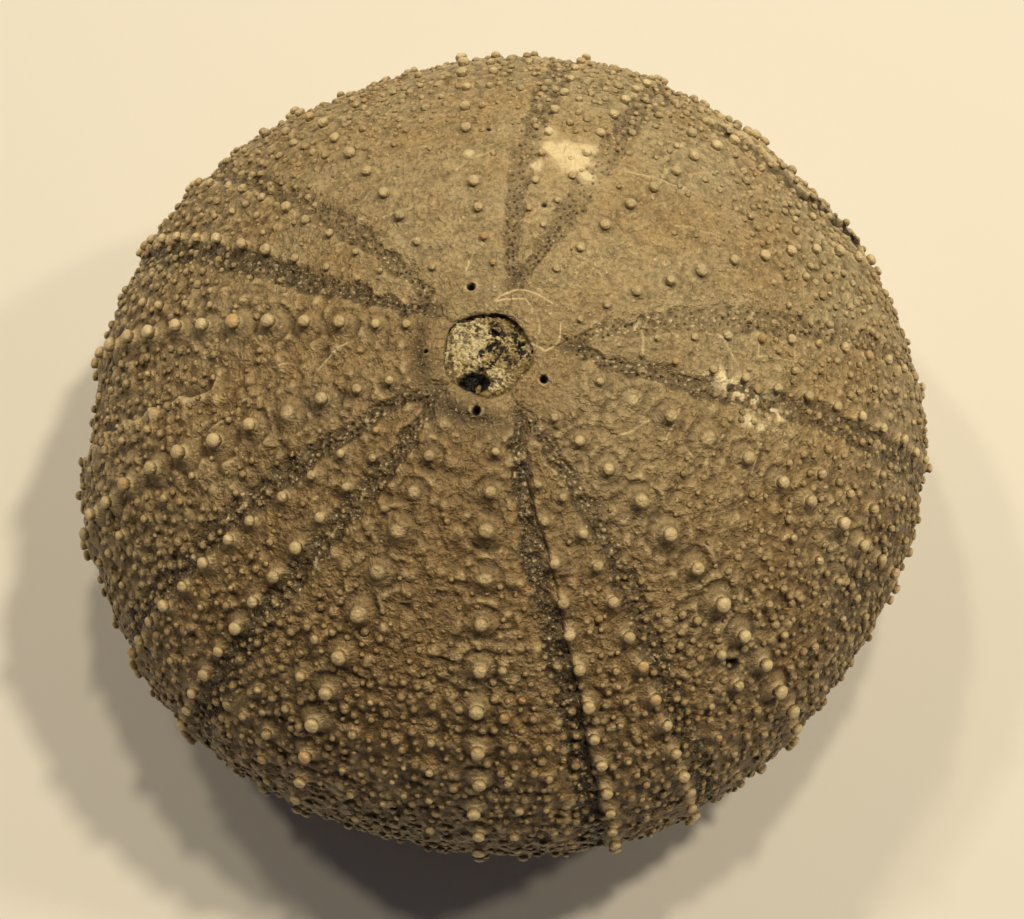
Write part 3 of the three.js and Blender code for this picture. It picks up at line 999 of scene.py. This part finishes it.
def weathered_stone():
    """Material of the test, read from the marks that the relief left on each piece, painted shade and
    highlight among them.
    """
    browns = (190, 171, 129), (176, 145, 92), (114, 96, 62)
    made = grainy_material("weathered calcite", *browns, (*MARKS, "amber"))
    material, tree, shader, grain, mark = made
    colour = grain["Color"]
    hairline = reckoned(tree, "MULTIPLY", grain["Hairline"], 0.65)
    colour = mixed_colour(tree, hairline, colour, linear(226, 204, 156))
    # pale specks painted as glints of light; the roughness below drops with them
    sparkle = reckoned(tree, "MULTIPLY", grain["Speck"], 0.5)
    colour = mixed_colour(tree, sparkle, colour, linear(222, 198, 146))
    # soil, and painted shade: darker towards the front and right flank, away from the lamps
    colour = mixed_colour(tree, mark["soil_and_shade"], colour, (0.60, 0.51, 0.39, 1.0), "MULTIPLY")
    # hollows darkened with silt and painted shade
    darkening = reckoned(tree, "MULTIPLY", mark["dark_and_shade"], 0.72, clamp=True)
    colour = mixed_colour(tree, darkening, colour, linear(58, 44, 22))
    ashen = reckoned(tree, "MULTIPLY", mark["grey"], 0.85, clamp=True)
    ash = mixed_colour(tree, grain["Speck"], linear(60, 47, 27), linear(178, 153, 102))
    colour = mixed_colour(tree, ashen, colour, ash)
    # two creams for rubbed parts: a lit one at the back and a shaded one at the front, painted light
    # and shade
    rubbed_and_lit = mixed_colour(tree, mark["soil_and_shade"], linear(235, 213, 163), linear(209, 186, 138))
    colour = mixed_colour(tree, mark["wear_and_highlight"], colour, rubbed_and_lit)
    colour = mixed_colour(tree, mark["amber"], colour, linear(180, 132, 70))
    veined = reckoned(tree, "MULTIPLY", mark["vein"], 0.95, clamp=True)
    colour = mixed_colour(tree, veined, colour, rubbed_and_lit)
    colour = mixed_colour(tree, mark["glint"], colour, linear(244, 226, 180))
    colour = mixed_colour(tree, mark["pore"], colour, linear(24, 19, 12))
    colour = mixed_colour(tree, mark["crack_and_shade"], colour, linear(34, 24, 15))
    tree.links.new(colour, shader.inputs["Base Color"])
    dull = reckoned(tree, "MULTIPLY", mark["dark_and_shade"], 0.3)
    shine = reckoned(tree, "MULTIPLY", grain["Speck"], -0.22)
    roughness = reckoned(tree, "ADD", reckoned(tree, "ADD", dull, shine), 0.39, clamp=True)
    tree.links.new(roughness, shader.inputs["Roughness"])
    shader.inputs["Specular IOR Level"].default_value = 0.55
    kept_rough = reckoned(tree, "SUBTRACT", 1.0, reckoned(tree, "MULTIPLY", mark["wear_and_highlight"], 0.7))
    level = reckoned(tree, "SUBTRACT", grain["Height"], 1.9)
    crinkled(tree, shader, 0.75, reckoned(tree, "MULTIPLY", level, kept_rough))
    return material


WEATHERED = weathered_stone()
CORE = (0.0, 0.0, 15.0)
# rows of points down the shell: close on the top and the flank, wider underneath
FLANK = 28.0
UNDERSIDE = 46.0
ROW_STEP = 0.10
ROWS = np.concatenate(
    [
        np.arange(DISC_EDGE, FLANK, ROW_STEP),
        np.arange(FLANK, UNDERSIDE, 1.4 * ROW_STEP),
        np.linspace(UNDERSIDE, MOUTH_EDGE, 62),
    ]
)
WIDE_ROWS = np.concatenate([DISC_EDGE - ROW_STEP * np.arange(MARGIN, 0, -1), ROWS])
LOWEST_STONE = 0.05


def column_grid(azimuth):
    """What a column of plates starts from: distance and radius at each point, the smooth test and
    its normals, a ragged noise from 0 to 1, and blank marks."""
    s = np.repeat(WIDE_ROWS[:, None], azimuth.shape[1], axis=1)
    smooth_points = bare_test(s, azimuth)
    ragged = np.clip(0.5 + 0.8 * stone_noise(smooth_points, 0.9, 33), 0.0, 1.0)
    marks = {name: np.zeros(s.shape) for name in MARKS}
    return s, radius_at(s), smooth_points, outward(s, azimuth), ragged, marks


def closed_column(name, azimuth, smooth_points, normal, height, marks):
    """One column of plates: the smooth points lifted along their normals by the relief and kept
    off the ground, without the margins, closed towards the core."""
    note_seats(ROWS, trimmed(azimuth), trimmed(height))
    grid = smooth_points + normal * height[..., None]
    grid[..., 2] = np.maximum(grid[..., 2], LOWEST_STONE)
    normals = trimmed(surface_normals(grid, normal))
    marks = {mark: trimmed(values) for mark, values in marks.items()}
    return body_from_grid(name, trimmed(grid), CORE, marks, WEATHERED, normals=normals)


# ------------------------------------------------------------------ interambulacra
# The five broad columns: two rows of wide plates, each with one large tubercle. Along the
# left one the stone has broken: its front part stands half a millimetre proud of the rest,
# with an edge scalloped by the plates.
FRACTURE_RISE = 0.8
BROAD_COLUMNS = 190  # points across an interambulacrum


def fracture_line(s):
    """Azimuth of the broken edge: scallops as wide as a plate is high, hooked at the upper end."""
    scallop = 1.2 * np.abs(np.sin(np.pi * (s - 22.8) / 3.15))
    return 183.7 + scallop * smooth_step(20.0, 22.0, s) - 4.0 * smooth_step(20.6, 19.4, s)


def interambulacrum(k):
    """The relief of one interambulacrum: plates slightly domed, faint sunken sutures along saw
    lines, the fracture, then bosses and weather. The plates level out at its edges."""
    low, high = interambulacrum_span(k, WIDE_ROWS)
    share = np.arange(-MARGIN, BROAD_COLUMNS + MARGIN) / (BROAD_COLUMNS - 1.0)
    azimuth = low[:, None] + (high - low)[:, None] * share[None, :]
    s, r, smooth_points, normal, ragged, marks = column_grid(azimuth)
    wobble = 0.22 * stone_noise(smooth_points, 2.2, 11 + k)
    x = r * np.radians(azimuth - 0.5 * (low + high)[:, None])
    half = 0.5 * r * np.radians((high - low)[:, None])
    count = [np.interp(s + wobble, levels, np.arange(len(levels))) for levels in COURSES[k]]
    saw = 1.0 - 4.0 * np.abs((count[1] + 0.5) % 1.0 - 0.5)
    seam = x + 0.09 * half * saw + 0.5 * wobble
    number = np.where(seam > 0.0, count[1], count[0]) + 0.13 * (x / half) ** 2
    off = number - np.round(number)
    to_suture = (0.5 - np.abs(off)) * 0.95 * PLATE_HEIGHTS[k]
    clear = smooth_step(0.0, 0.8, stone_noise(smooth_points, 3.0, 21 + k))
    clear = clear * (0.35 + 0.65 * spared(azimuth))
    groove = bell(to_suture, 0.13) + bell(seam, 0.13)
    height = 0.10 * (1.0 - (2.0 * off) ** 2) - 0.05 * clear * np.minimum(groove, 1.0)
    height *= smooth_step(0.0, 0.7, half - np.abs(x)) * smooth_step(DISC_EDGE, 6.2, s)
    if k == 2:
        broken = smooth_step(18.8, 22.5, s) * (1.0 - smooth_step(48.0, 60.0, s))
        past = r * np.radians(azimuth - fracture_line(s)) + 0.12 * wobble
        spread = 1.0 - smooth_step(3.5, 11.0, past)
        height += FRACTURE_RISE * broken * spread * smooth_step(-0.07, 0.07, past)
        # a dark line at the foot of the step and a darkening below it: painted shadow of the proud
        # edge
        gap = bell(past + 0.13, 0.12) * smooth_step(-0.5, 0.5, wobble * 5.0)
        marks["crack_and_shade"] = 0.8 * broken * gap * (0.25 + 0.75 * smooth_step(25.0, 32.0, s))
        shade = bell(np.minimum(past, 0.0), 0.9) * (past < 0.0)
        marks["dark_and_shade"] = 0.7 * broken * shade * smooth_step(22.0, 32.0, s)
    for neighbour in (k, k + 1):
        sink_zone(neighbour, s, azimuth, smooth_points, ragged, height, marks)
    raise_bosses(WIDE_ROWS, azimuth, ragged, height, marks)
    weather(s, azimuth, smooth_points, height, marks)
    finish_marks(height, marks, 5, 5)
    name = f"interambulacrum_{k + 1}"
    return closed_column(name, azimuth, smooth_points, normal, height, marks)


# ------------------------------------------------------------------ ambulacra
# The five narrow columns: two rows of low plates between two zones of pores. The zones are
# rough and ashen where the tube feet came out.
NARROW_COLUMNS = 112  # points across an ambulacrum


def ambulacrum(k):
    """The relief of one ambulacrum: low plates with faint sutures, sunken rough pore zones, pores,
    bosses and weather."""
    middle = ambulacrum_middle(k, WIDE_ROWS)
    edge = ambulacrum_edge(WIDE_ROWS)
    share = 2.0 * np.arange(-MARGIN, NARROW_COLUMNS + MARGIN) / (NARROW_COLUMNS - 1.0) - 1.0
    azimuth = middle[:, None] + edge[:, None] * share[None, :]
    s, r, smooth_points, normal, ragged, marks = column_grid(azimuth)
    wobble = 0.15 * stone_noise(smooth_points, 2.0, 41 + k)
    from_middle = r * np.radians(azimuth - middle[:, None])
    half = r * np.radians(edge[:, None])
    course = (s + wobble - 9.6) / AMBULACRAL_STEP
    off = course - 0.5 * (from_middle > 0.0)
    off = off - np.round(off)
    to_suture = (0.5 - np.abs(off)) * AMBULACRAL_STEP
    seam = from_middle + 0.3 * (1.0 - 4.0 * np.abs(course % 1.0 - 0.5))
    groove = bell(to_suture, 0.11) + bell(seam, 0.11)
    height = 0.05 * (1.0 - (2.0 * off) ** 2) - 0.05 * np.minimum(groove, 1.0)
    inside, _ = pore_zone(k, s, azimuth, ragged)
    height *= (1.0 - inside) * smooth_step(0.0, 0.7, half - np.abs(from_middle))
    height *= smooth_step(DISC_EDGE, 6.2, s)
    sink_zone(k, s, azimuth, smooth_points, ragged, height, marks)
    sink_pores(k, WIDE_ROWS, azimuth, height, marks)
    raise_bosses(WIDE_ROWS, azimuth, ragged, height, marks)
    weather(s, azimuth, smooth_points, height, marks)
    finish_marks(height, marks, 5, 7)
    name = f"ambulacrum_{k + 1}"
    return closed_column(name, azimuth, smooth_points, normal, height, marks)


for number in range(5):
    for piece in (interambulacrum(number), ambulacrum(number)):
        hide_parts("test")


# ------------------------------------------------------------------ apical disc
# A ring of ten plates at the top: five genital plates, each with one pore for its eggs, and
# five small ocular plates at the tips of the ambulacra. It frames a round opening whose own
# small plates are lost. A sliver has split off the plate at the back right.
PERIPROCT_CENTRE = (-0.5, -0.35)
PERIPROCT_RADIUS = 2.95
OPENING = np.array(PERIPROCT_CENTRE) + np.array(APEX_LEAN) - np.array(BOX_CENTRE)
# distance and radius of the pore on each genital plate, by its interambulacrum
GONOPORES = {1: (4.7, 0.24), 2: (4.6, 0.12), 3: (4.5, 0.25), 4: (3.9, 0.23)}
DISC_ROWS = 76
DISC_COLUMNS = 560


def rim_radius(angle):
    """The opening's outline: a circle with a faint five-sided swell and some roughness."""
    swell = 0.035 * np.cos(5 * angle + 0.6) + 0.02 * np.sin(3 * angle + 0.4)
    return PERIPROCT_RADIUS * (1.0 + swell + 0.008 * np.sin(11 * angle) + 0.006 * np.sin(23 * angle))


def apical_disc():
    """Rows run from the rim out to the disc's edge. In plan each point lies between the rim curve
    and the edge circle; its height follows the dome less the sutures, pores and wear. Further
    rows carry the opening's wall straight down from the rim."""
    angle = np.linspace(0.0, 2 * np.pi, DISC_COLUMNS, endpoint=False)
    share = (np.arange(DISC_ROWS + 6) / (DISC_ROWS - 1.0))[:, None, None] ** 1.1
    spoke = np.stack([np.cos(angle), np.sin(angle)], axis=-1)
    edge = radius_at(DISC_EDGE) * spoke
    rim = rim_radius(angle)[:, None] * spoke + np.array(PERIPROCT_CENTRE)
    plan = rim[None] * (1.0 - share) + edge[None] * share
    r = np.hypot(plan[..., 0], plan[..., 1])
    s = np.interp(r, RADIUS[:QUARTER_POINTS], ALONG[:QUARTER_POINTS])
    azimuth = np.degrees(np.arctan2(plan[..., 1], plan[..., 0])) % 360.0
    smooth_points = bare_test(s, azimuth)
    normal = outward(s, azimuth)
    marks = {name: np.zeros(s.shape) for name in MARKS}
    height = np.zeros(s.shape)
    wobble = 0.16 * stone_noise(smooth_points, 1.2, 61) + 0.06 * stone_noise(smooth_points, 0.5, 62)
    sutures = np.full(s.shape, 9.0)
    for k in range(5):
        turn = np.radians(azimuth - (FIRST_AMBULACRUM + SECTOR * k))
        out, across = r * np.cos(turn), r * np.sin(turn)
        between = np.where((out > 2.0) & (out < 4.15), np.abs(across + wobble), 9.0)
        ocular = np.where(out > 4.0, np.abs(np.abs(across) - 0.85 * (out - 4.1) + wobble), 9.0)
        sutures = np.minimum(sutures, np.minimum(between, ocular))
    height -= 0.07 * bell(sutures, 0.09)
    height += 0.09 * smooth_step(0.0, 0.8, sutures)
    from_rim = share[..., 0] * np.hypot(*(edge - rim).T)[None, :]
    height -= 0.22 * np.exp(-from_rim / 0.22)
    # a dark line round the rim of the opening, painted shade, strongest on the front-left side away
    # from the lamps
    rim_shade = np.clip(0.7 + 0.5 * np.cos(angle - np.radians(215.0)), 0.2, 1.0)[None, :]
    marks["crack_and_shade"] = 0.6 * rim_shade * bell(from_rim, 0.10)
    for k, (place_s, size) in GONOPORES.items():
        place_azimuth = FIRST_AMBULACRUM + SECTOR * (k + 0.5)
        away = near_place(s, azimuth, place_s, place_azimuth)
        height -= 3.2 * size * np.exp(-((away / size) ** 4))
        height += 0.04 * bell(away - 1.9 * size, 0.14)
        strengthen(marks, "pore", np.exp(-((away / (1.15 * size)) ** 6)))
    for path in SLIVER_EDGES:
        height -= 0.07 * bell(near_path(s, azimuth, path), 0.3)
    height *= smooth_step(0.0, 0.5, DISC_EDGE - s)
    weather(s, azimuth, smooth_points, height, marks)
    finish_marks(height, marks, 4, 5)
    marks = {name: mark[:DISC_ROWS] for name, mark in marks.items()}
    full = smooth_points + normal * height[..., None]
    normals = surface_normals(full, normal, wraps=True)[:DISC_ROWS]
    top = full[:DISC_ROWS]
    drop = np.linspace(1.0, 0.0, 15)[:-1, None, None]
    wall = top[0][None] - drop * np.array([0.0, 0.0, 2.1])
    bulge = 0.018 * np.sin(drop * 9.0) + 0.012 * stone_noise(wall, 0.8, 63)[..., None]
    wall[..., :2] = OPENING + (wall[..., :2] - OPENING) * (1.0 + bulge * (drop > 0.05))
    grid = np.concatenate([wall, top])
    inward = np.zeros_like(wall)
    inward[..., :2] = OPENING - wall[..., :2]
    wall_normals = surface_normals(wall, inward, wraps=True)
    wall_normals[-1] = wall_normals[-1] + normals[0]
    wall_normals /= np.linalg.norm(wall_normals, axis=-1, keepdims=True)
    normals = np.concatenate([wall_normals, normals])
    # the wall of the opening is coloured dark: painted shade in the recess
    for name in MARKS:
        fill = {"dark_and_shade": 0.55, "soil_and_shade": 0.9}.get(name, 0.0)
        marks[name] = np.concatenate([np.full((len(wall), DISC_COLUMNS), fill), marks[name]])
    disc = body_from_grid("apical_disc", grid, CORE, marks, WEATHERED, True, normals)
    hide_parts("test")


apical_disc()


# ------------------------------------------------------------------ heads of the tubercles
# The round heads on which the spines turned: knobs with a narrow neck, cream where they are
# rubbed and given a painted highlight on the crown, darkened by painted shade and silt at the
# foot, some of them amber. They are part of the test's plates.
def heads(name, table, seats, rings, sides, rubbed_and_lit):
    """Joined knobs: a profile of (radius, height) rings, in head radii, carried round the
    tubercle's own axis, which is the test's normal with a slight tilt. Each has its own cell
    in the picture layout, with the crown in the middle."""
    s, azimuth, size = table[:, :3].T
    axis = outward(s, azimuth)
    base = bare_test(s, azimuth) + axis * seats[:, None]
    axis = axis + dice.normal(0.0, 0.07, (len(s), 3))
    axis /= np.linalg.norm(axis, axis=1, keepdims=True)
    first = np.cross(axis, np.array([0.13, 0.21, 0.97]))
    first /= np.linalg.norm(first, axis=1, keepdims=True)
    second = np.cross(axis, first)
    angle = np.linspace(0.0, 2 * np.pi, sides, endpoint=False)
    reach, rise = np.array(rings).T
    uneven = 1.0 + dice.normal(0.0, 0.03, (len(s), 1, sides))
    sway = reach[None, :, None] * uneven * size[:, None, None]
    tall = dice.uniform(0.95, 1.2, len(s)) * size * (1.0 - 0.18 * smooth_step(32.0, 42.0, s))
    spot = (
        base[:, None, None]
        + first[:, None, None] * (sway * np.cos(angle))[..., None]
        + second[:, None, None] * (sway * np.sin(angle))[..., None]
        + axis[:, None, None] * (rise[None, :, None] * tall[:, None, None])[..., None]
    )
    tops = base + axis * (rise[-1] + 0.03) * tall[:, None]
    feet = base + axis * rise[0] * tall[:, None]
    body = np.concatenate([spot.reshape(len(s), -1, 3), tops[:, None], feet[:, None]], axis=1)
    body[..., 2] = np.maximum(body[..., 2], 0.01)
    count = len(rings) * sides
    ring = np.arange(count).reshape(len(rings), sides)
    turned = np.roll(ring, -1, axis=1)
    quads = np.stack([ring[:-1], turned[:-1], turned[1:], ring[1:]], axis=-1).reshape(-1, 4)
    caps = np.stack([ring[-1], turned[-1], np.full(sides, count)], axis=-1)
    soles = np.stack([turned[0], ring[0], np.full(sides, count + 1)], axis=-1)
    start = np.arange(len(s))[:, None, None] * (count + 2)
    all_quads = (quads[None] + start).reshape(-1, 4)
    all_caps = (np.concatenate([caps, soles])[None] + start).reshape(-1, 3)
    out = np.append(np.repeat(np.linspace(0.46, 0.10, len(rings)), sides), [0.0, 0.46])
    spin = np.append(np.tile(angle, len(rings)), [0.0, 0.0])
    local = 0.5 + out[:, None] * np.stack([np.cos(spin), np.sin(spin)], axis=-1)
    cells = int(np.ceil(np.sqrt(len(s))))
    column, row = np.arange(len(s)) % cells, np.arange(len(s)) // cells
    cell = np.stack([column, row], axis=-1)[:, None]
    side_uv = ((local[quads.ravel()][None] + cell) / cells).reshape(-1, 2)
    corner = np.array([(0.01, 0.01), (0.03, 0.01), (0.01, 0.03)])
    cap_uv = np.concatenate([local[caps.ravel()], np.tile(corner, (sides, 1))])
    cap_uv = ((cap_uv[None] + cell) / cells).reshape(-1, 2)
    layout = np.concatenate([side_uv, cap_uv])

    lift = np.append(np.repeat(rise, sides), [rise[-1], rise[0]])[None]
    crown = smooth_step(0.1, 0.9, lift / rise[-1])
    fresh = freshness(s, azimuth)[:, None]
    ripe = 0.7 + 0.3 * smooth_step(12.0, 27.0, s)[:, None]
    # the crown is pale with wear and a painted highlight, the foot dark with painted shade and silt
    pale = crown * rubbed_and_lit * ripe * (0.5 + 0.5 * fresh) * dice.uniform(0.65, 1.05, (len(s), 1))
    darkening = (1.0 - smooth_step(-0.1, 0.5, lift / rise[-1])) * (0.2 + 0.4 * fresh)
    # soil, and painted shade towards the front
    soil_and_shade = np.clip(soiling_and_shade(s, azimuth), 0, 1)[:, None] + 0.0 * lift
    chalky = np.zeros(len(s))
    for place_s, place_azimuth, width in CHALK_FLECKS:
        away = apart(table, np.array([(place_s, place_azimuth)]))[:, 0] / width
        chalky = np.maximum(chalky, 0.7 * (1.0 - smooth_step(0.55, 1.3, away)))
    glint = chalky[:, None] + 0.0 * lift
    amber = 0.5 * (dice.random((len(s), 1)) < 0.05) * crown
    marks = {"wear_and_highlight": pale, "dark_and_shade": darkening, "soil_and_shade": soil_and_shade, "glint": glint, "amber": amber}
    marks = {mark: np.clip(values, 0, 1) for mark, values in marks.items()}
    rounded = np.ones(len(all_quads) + len(all_caps), bool)
    points = body.reshape(-1, 3)
    knobs = piece_of_stone(name, points, all_quads, all_caps, rounded, layout, marks, WEATHERED)
    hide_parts("test")


KNOB = [(0.88, -0.4), (0.85, 0.0), (1.0, 0.38), (0.93, 0.7), (0.66, 0.93), (0.3, 1.03)]
BEAD = [(1.08, -0.35), (1.0, 0.08), (0.94, 0.4), (0.7, 0.7), (0.34, 0.86)]
GRAIN = [(1.35, -0.3), (1.12, 0.08), (0.82, 0.42), (0.36, 0.62)]
kept = np.append(~BROKEN, np.ones(len(LARGE) - len(PRIMARY), bool))
heads("large_heads", LARGE[kept], SEATS["large"][kept], KNOB, 10, 1.0)
heads("middling_heads", MIDDLING, SEATS["middling"], BEAD, 9, 0.7)
beaded = GRANULES[:, 0] > 9.0 + 7.0 * (1.0 - freshness(GRANULES[:, 0], GRANULES[:, 1]))
for part in range(2):
    chosen = beaded & (np.arange(len(GRANULES)) % 2 == part)
    heads(f"granules_{part + 1}", GRANULES[chosen], SEATS["granule"][chosen], GRAIN, 7, 0.42)


# ------------------------------------------------------------------ matrix
# Hardened sand with crystals, packed into the test before it turned to stone. It shows in
# the opening at the top, where a corner has fallen out, and in the mouth underneath.
def sandy_matrix():
    """Material of the fill: pale crystals, ochre sand and black grains, with black painted shade in
    its holes.
    """
    browns = (196, 172, 118), (132, 108, 56), (52, 42, 24)
    made = grainy_material("sandy matrix", *browns, ("dark_and_shade", "glint", "ochre"))
    material, tree, shader, grain, mark = made
    colour = mixed_colour(tree, mark["ochre"], grain["Color"], linear(112, 88, 36))
    colour = mixed_colour(tree, mark["glint"], colour, linear(226, 210, 164))
    # black grains and holes are coloured near black; in the holes this is painted shade
    colour = mixed_colour(tree, mark["dark_and_shade"], colour, linear(15, 13, 11))
    tree.links.new(colour, shader.inputs["Base Color"])
    shader.inputs["Roughness"].default_value = 0.55
    crinkled(tree, shader, 0.9, grain["Height"])
    return material


SANDY = sandy_matrix()


def matrix_plug(name, centre, radius, face, sign, columns, rings, holes, shades):
    """A disc of rough sand: rings of points about a centre, their height from layered noise less
    bell-shaped holes, and a skirt that goes into the wall. Black grains gather where the noise
    is low and along the shaded streaks, ochre ones towards the rim, and the holes are painted
    black as shade."""
    angle = np.linspace(0.0, 2 * np.pi, columns, endpoint=False)
    out = np.linspace(0.0, 1.0, rings)[1:, None]
    x = centre[0] + radius * out * np.cos(angle)
    y = centre[1] + radius * out * np.sin(angle)
    flat = np.stack([x, y, np.zeros_like(x)], axis=-1)
    warp = np.stack([stone_noise(flat, 0.8, seed) for seed in (75, 76, 77)], axis=-1)
    twisted = flat + 0.35 * warp
    coarse = stone_noise(twisted, 1.1, 71)
    middle = stone_noise(twisted, 0.42, 72)
    fine = stone_noise(twisted, 0.2, 73)
    sharp = stone_noise(flat, 0.11, 74)
    rise = 0.16 * coarse + 0.13 * middle + 0.09 * fine + 0.06 * sharp - 0.15 * out**6
    streak = np.zeros_like(x)
    for path_x, path_y, reach in shades:
        streak = np.maximum(streak, bell(np.hypot(x - path_x, y - path_y), reach))
    grains = 0.6 * middle + 0.7 * fine + 0.7 * sharp - 1.5 * streak
    dark_and_shade = smooth_step(-0.85, -1.25, grains) * 0.97
    pale = np.exp(-(((x - centre[0] + 0.9) / 1.2) ** 2) - ((y - centre[1] - 0.5) / 1.0) ** 2)
    speckle = 0.5 * fine + 0.6 * sharp + 0.9 * coarse - 0.7 * streak + 0.6 * pale
    glint = 0.85 * smooth_step(0.05, 0.75, speckle)
    for hole_x, hole_y, reach, depth in holes:
        away = np.hypot(x - hole_x, y - hole_y) + 0.28 * coarse + 0.16 * middle + 0.08 * fine
        pit = np.exp(-((np.maximum(away, 0.0) / reach) ** 4))
        rise = rise - depth * pit
        # each hole is painted black: painted shade inside it
        dark_and_shade = np.maximum(dark_and_shade, smooth_step(0.25, 0.5, pit))
    glint = glint * (1.0 - dark_and_shade)
    lean = (x - centre[0]) * 0.5 - (y - centre[1]) * 0.5
    ochre = np.clip(0.75 * smooth_step(0.72, 1.0, out) + 0.7 * smooth_step(0.6, 2.2, lean), 0, 1)
    ochre = ochre * smooth_step(-0.8, 0.3, middle + fine)
    darkening = smooth_step(0.0, -0.6, 0.9 * middle + 0.7 * fine + 0.5 * sharp) * 0.6
    dark_and_shade = np.maximum(dark_and_shade, darkening)
    grid = np.stack([x, y, face + sign * rise], axis=-1)
    hub = grid[0].mean(axis=0)
    grid[0] = hub + (grid[0] - hub) * 0.02
    skirt = grid[-1:] - np.array([0.0, 0.0, sign * 0.8])
    grid = np.concatenate([grid, skirt])
    marks = {"dark_and_shade": dark_and_shade, "glint": glint, "ochre": ochre}
    marks = {key: np.concatenate([value, value[-1:]]) for key, value in marks.items()}
    if sign < 0.0:
        grid = grid[:, ::-1]
        marks = {key: value[:, ::-1] for key, value in marks.items()}
    core = (centre[0], centre[1], face - sign * 1.2)
    return body_from_grid(name, grid, core, marks, SANDY, wraps=True)


TOP_FACE = 36.95  # height of the fill in the opening
MOUTH_FACE = 3.2  # and of the fill in the mouth, which lies a little to the left of the mouth
holes_on_top = [
    (OPENING[0] - 0.95, OPENING[1] - 1.75, 0.75, 0.7),
    (OPENING[0] - 0.2, OPENING[1] - 1.85, 0.5, 0.6),
    (OPENING[0] + 0.5, OPENING[1] + 1.6, 0.3, 0.4),
    (OPENING[0] + 2.4, OPENING[1] + 0.8, 0.35, 0.4),
]
branch = [(0.4, 2.2, 0.5), (0.6, 1.5, 0.55), (0.55, 0.9, 0.45), (1.0, 0.4, 0.5), (1.3, -0.2, 0.4)]
branch += [(0.2, 0.7, 0.4), (-0.4, 0.1, 0.35), (0.3, -0.5, 0.35), (1.9, 1.2, 0.5), (2.3, 0.2, 0.45)]
shades_on_top = [(OPENING[0] + dx, OPENING[1] + dy, reach) for dx, dy, reach in branch]
plug = matrix_plug("apical_fill", OPENING, 3.1, TOP_FACE, 1.0, 300, 80, holes_on_top, shades_on_top)
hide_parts("apical_matrix")
mouth = (APEX_LEAN[0] * AMBITUS_HEIGHT / DOME_RISE - BOX_CENTRE[0], -0.15)
holes_below = [(3.5, 2.0, 0.9, 0.5), (2.5, 1.2, 0.7, 0.4)]
filling = matrix_plug("oral_fill", mouth, 10.0, MOUTH_FACE, -1.0, 300, 84, holes_below, [])
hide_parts("oral_matrix")


# ------------------------------------------------------------------ table, light and view
# The stone lies on a pale cream table. Five round ceiling lamps hang behind it and to
# both sides, and a dim cool room fills the shade.
CARD_COLOUR = (0.80, 0.765, 0.69, 1.0)


def plain_table():
    """A large flat square at ground level."""
    half = 1.5
    mesh = bpy.data.meshes.new("table")
    mesh.from_pydata(
        [(-half, -half, 0), (half, -half, 0), (half, half, 0), (-half, half, 0)],
        [],
        [(0, 1, 2, 3)],
    )
    material, _, shader = blank_material("cream card")
    shader.inputs["Base Color"].default_value = CARD_COLOUR
    shader.inputs["Roughness"].default_value = 0.9
    shader.inputs["Specular IOR Level"].default_value = 0.1
    mesh.materials.append(material)
    table = put_in("table", mesh)


plain_table()
LAMP_DISTANCE = 0.60
LAMP_SIZE = 0.045
LAMP_COLOUR = (1.0, 0.88, 0.66)
LAMPS = {
    "right_low": (15.0, 45.0, 0.09),
    "right_high": (35.0, 62.0, 0.31),
    "back": (75.0, 70.0, 0.20),
    "back_left": (120.0, 58.0, 0.11),
    "left_low": (142.0, 55.0, 0.10),
}


def ceiling_lamp(name, azimuth, elevation, share):
    """A round area lamp aimed at the middle of the stone. Its power gives its share of the light
    on a level white card, by the cosine law and the square of the distance."""
    light = bpy.data.lights.new("lamp_" + name, "AREA")
    light.shape = "DISK"
    light.size = LAMP_SIZE
    a, e = np.radians(azimuth), np.radians(elevation)
    light.energy = share * np.pi**2 * LAMP_DISTANCE**2 / (CARD_COLOUR[1] * np.sin(e))
    light.color = LAMP_COLOUR
    lamp = put_in("lamp_" + name, light)
    away = np.array([np.cos(e) * np.cos(a), np.cos(e) * np.sin(a), np.sin(e)])
    lamp.location = away * LAMP_DISTANCE + np.array([0.0, 0.0, 0.01])
    lamp.rotation_euler = (np.pi / 2 - e, 0.0, a + np.pi / 2)


for name, (azimuth, elevation, share) in LAMPS.items():
    ceiling_lamp(name, azimuth, elevation, share)
world = bpy.data.worlds.new("room")
world.use_nodes = True
world.node_tree.nodes["Background"].inputs["Color"].default_value = (0.80, 0.80, 1.0, 1.0)
world.node_tree.nodes["Background"].inputs["Strength"].default_value = 0.06
bpy.context.scene.world = world

VIEW_ELEVATION = 74.29
VIEW_DISTANCE = 0.150
VIEW_AIM = np.array([0.0001, -0.0011, 0.015])
eye = bpy.data.cameras.new("camera")
eye.sensor_width = 36.0
eye.lens = 68.0
eye.clip_start = 0.005
camera = put_in("camera", eye)
tilt = np.radians(VIEW_ELEVATION)
camera.location = VIEW_AIM + VIEW_DISTANCE * np.array([0.0, -np.cos(tilt), np.sin(tilt)])
camera.rotation_euler = (np.pi / 2 - tilt, 0.0, 0.0)
bpy.context.scene.camera = camera
bpy.context.scene.view_settings.view_transform = "Standard"
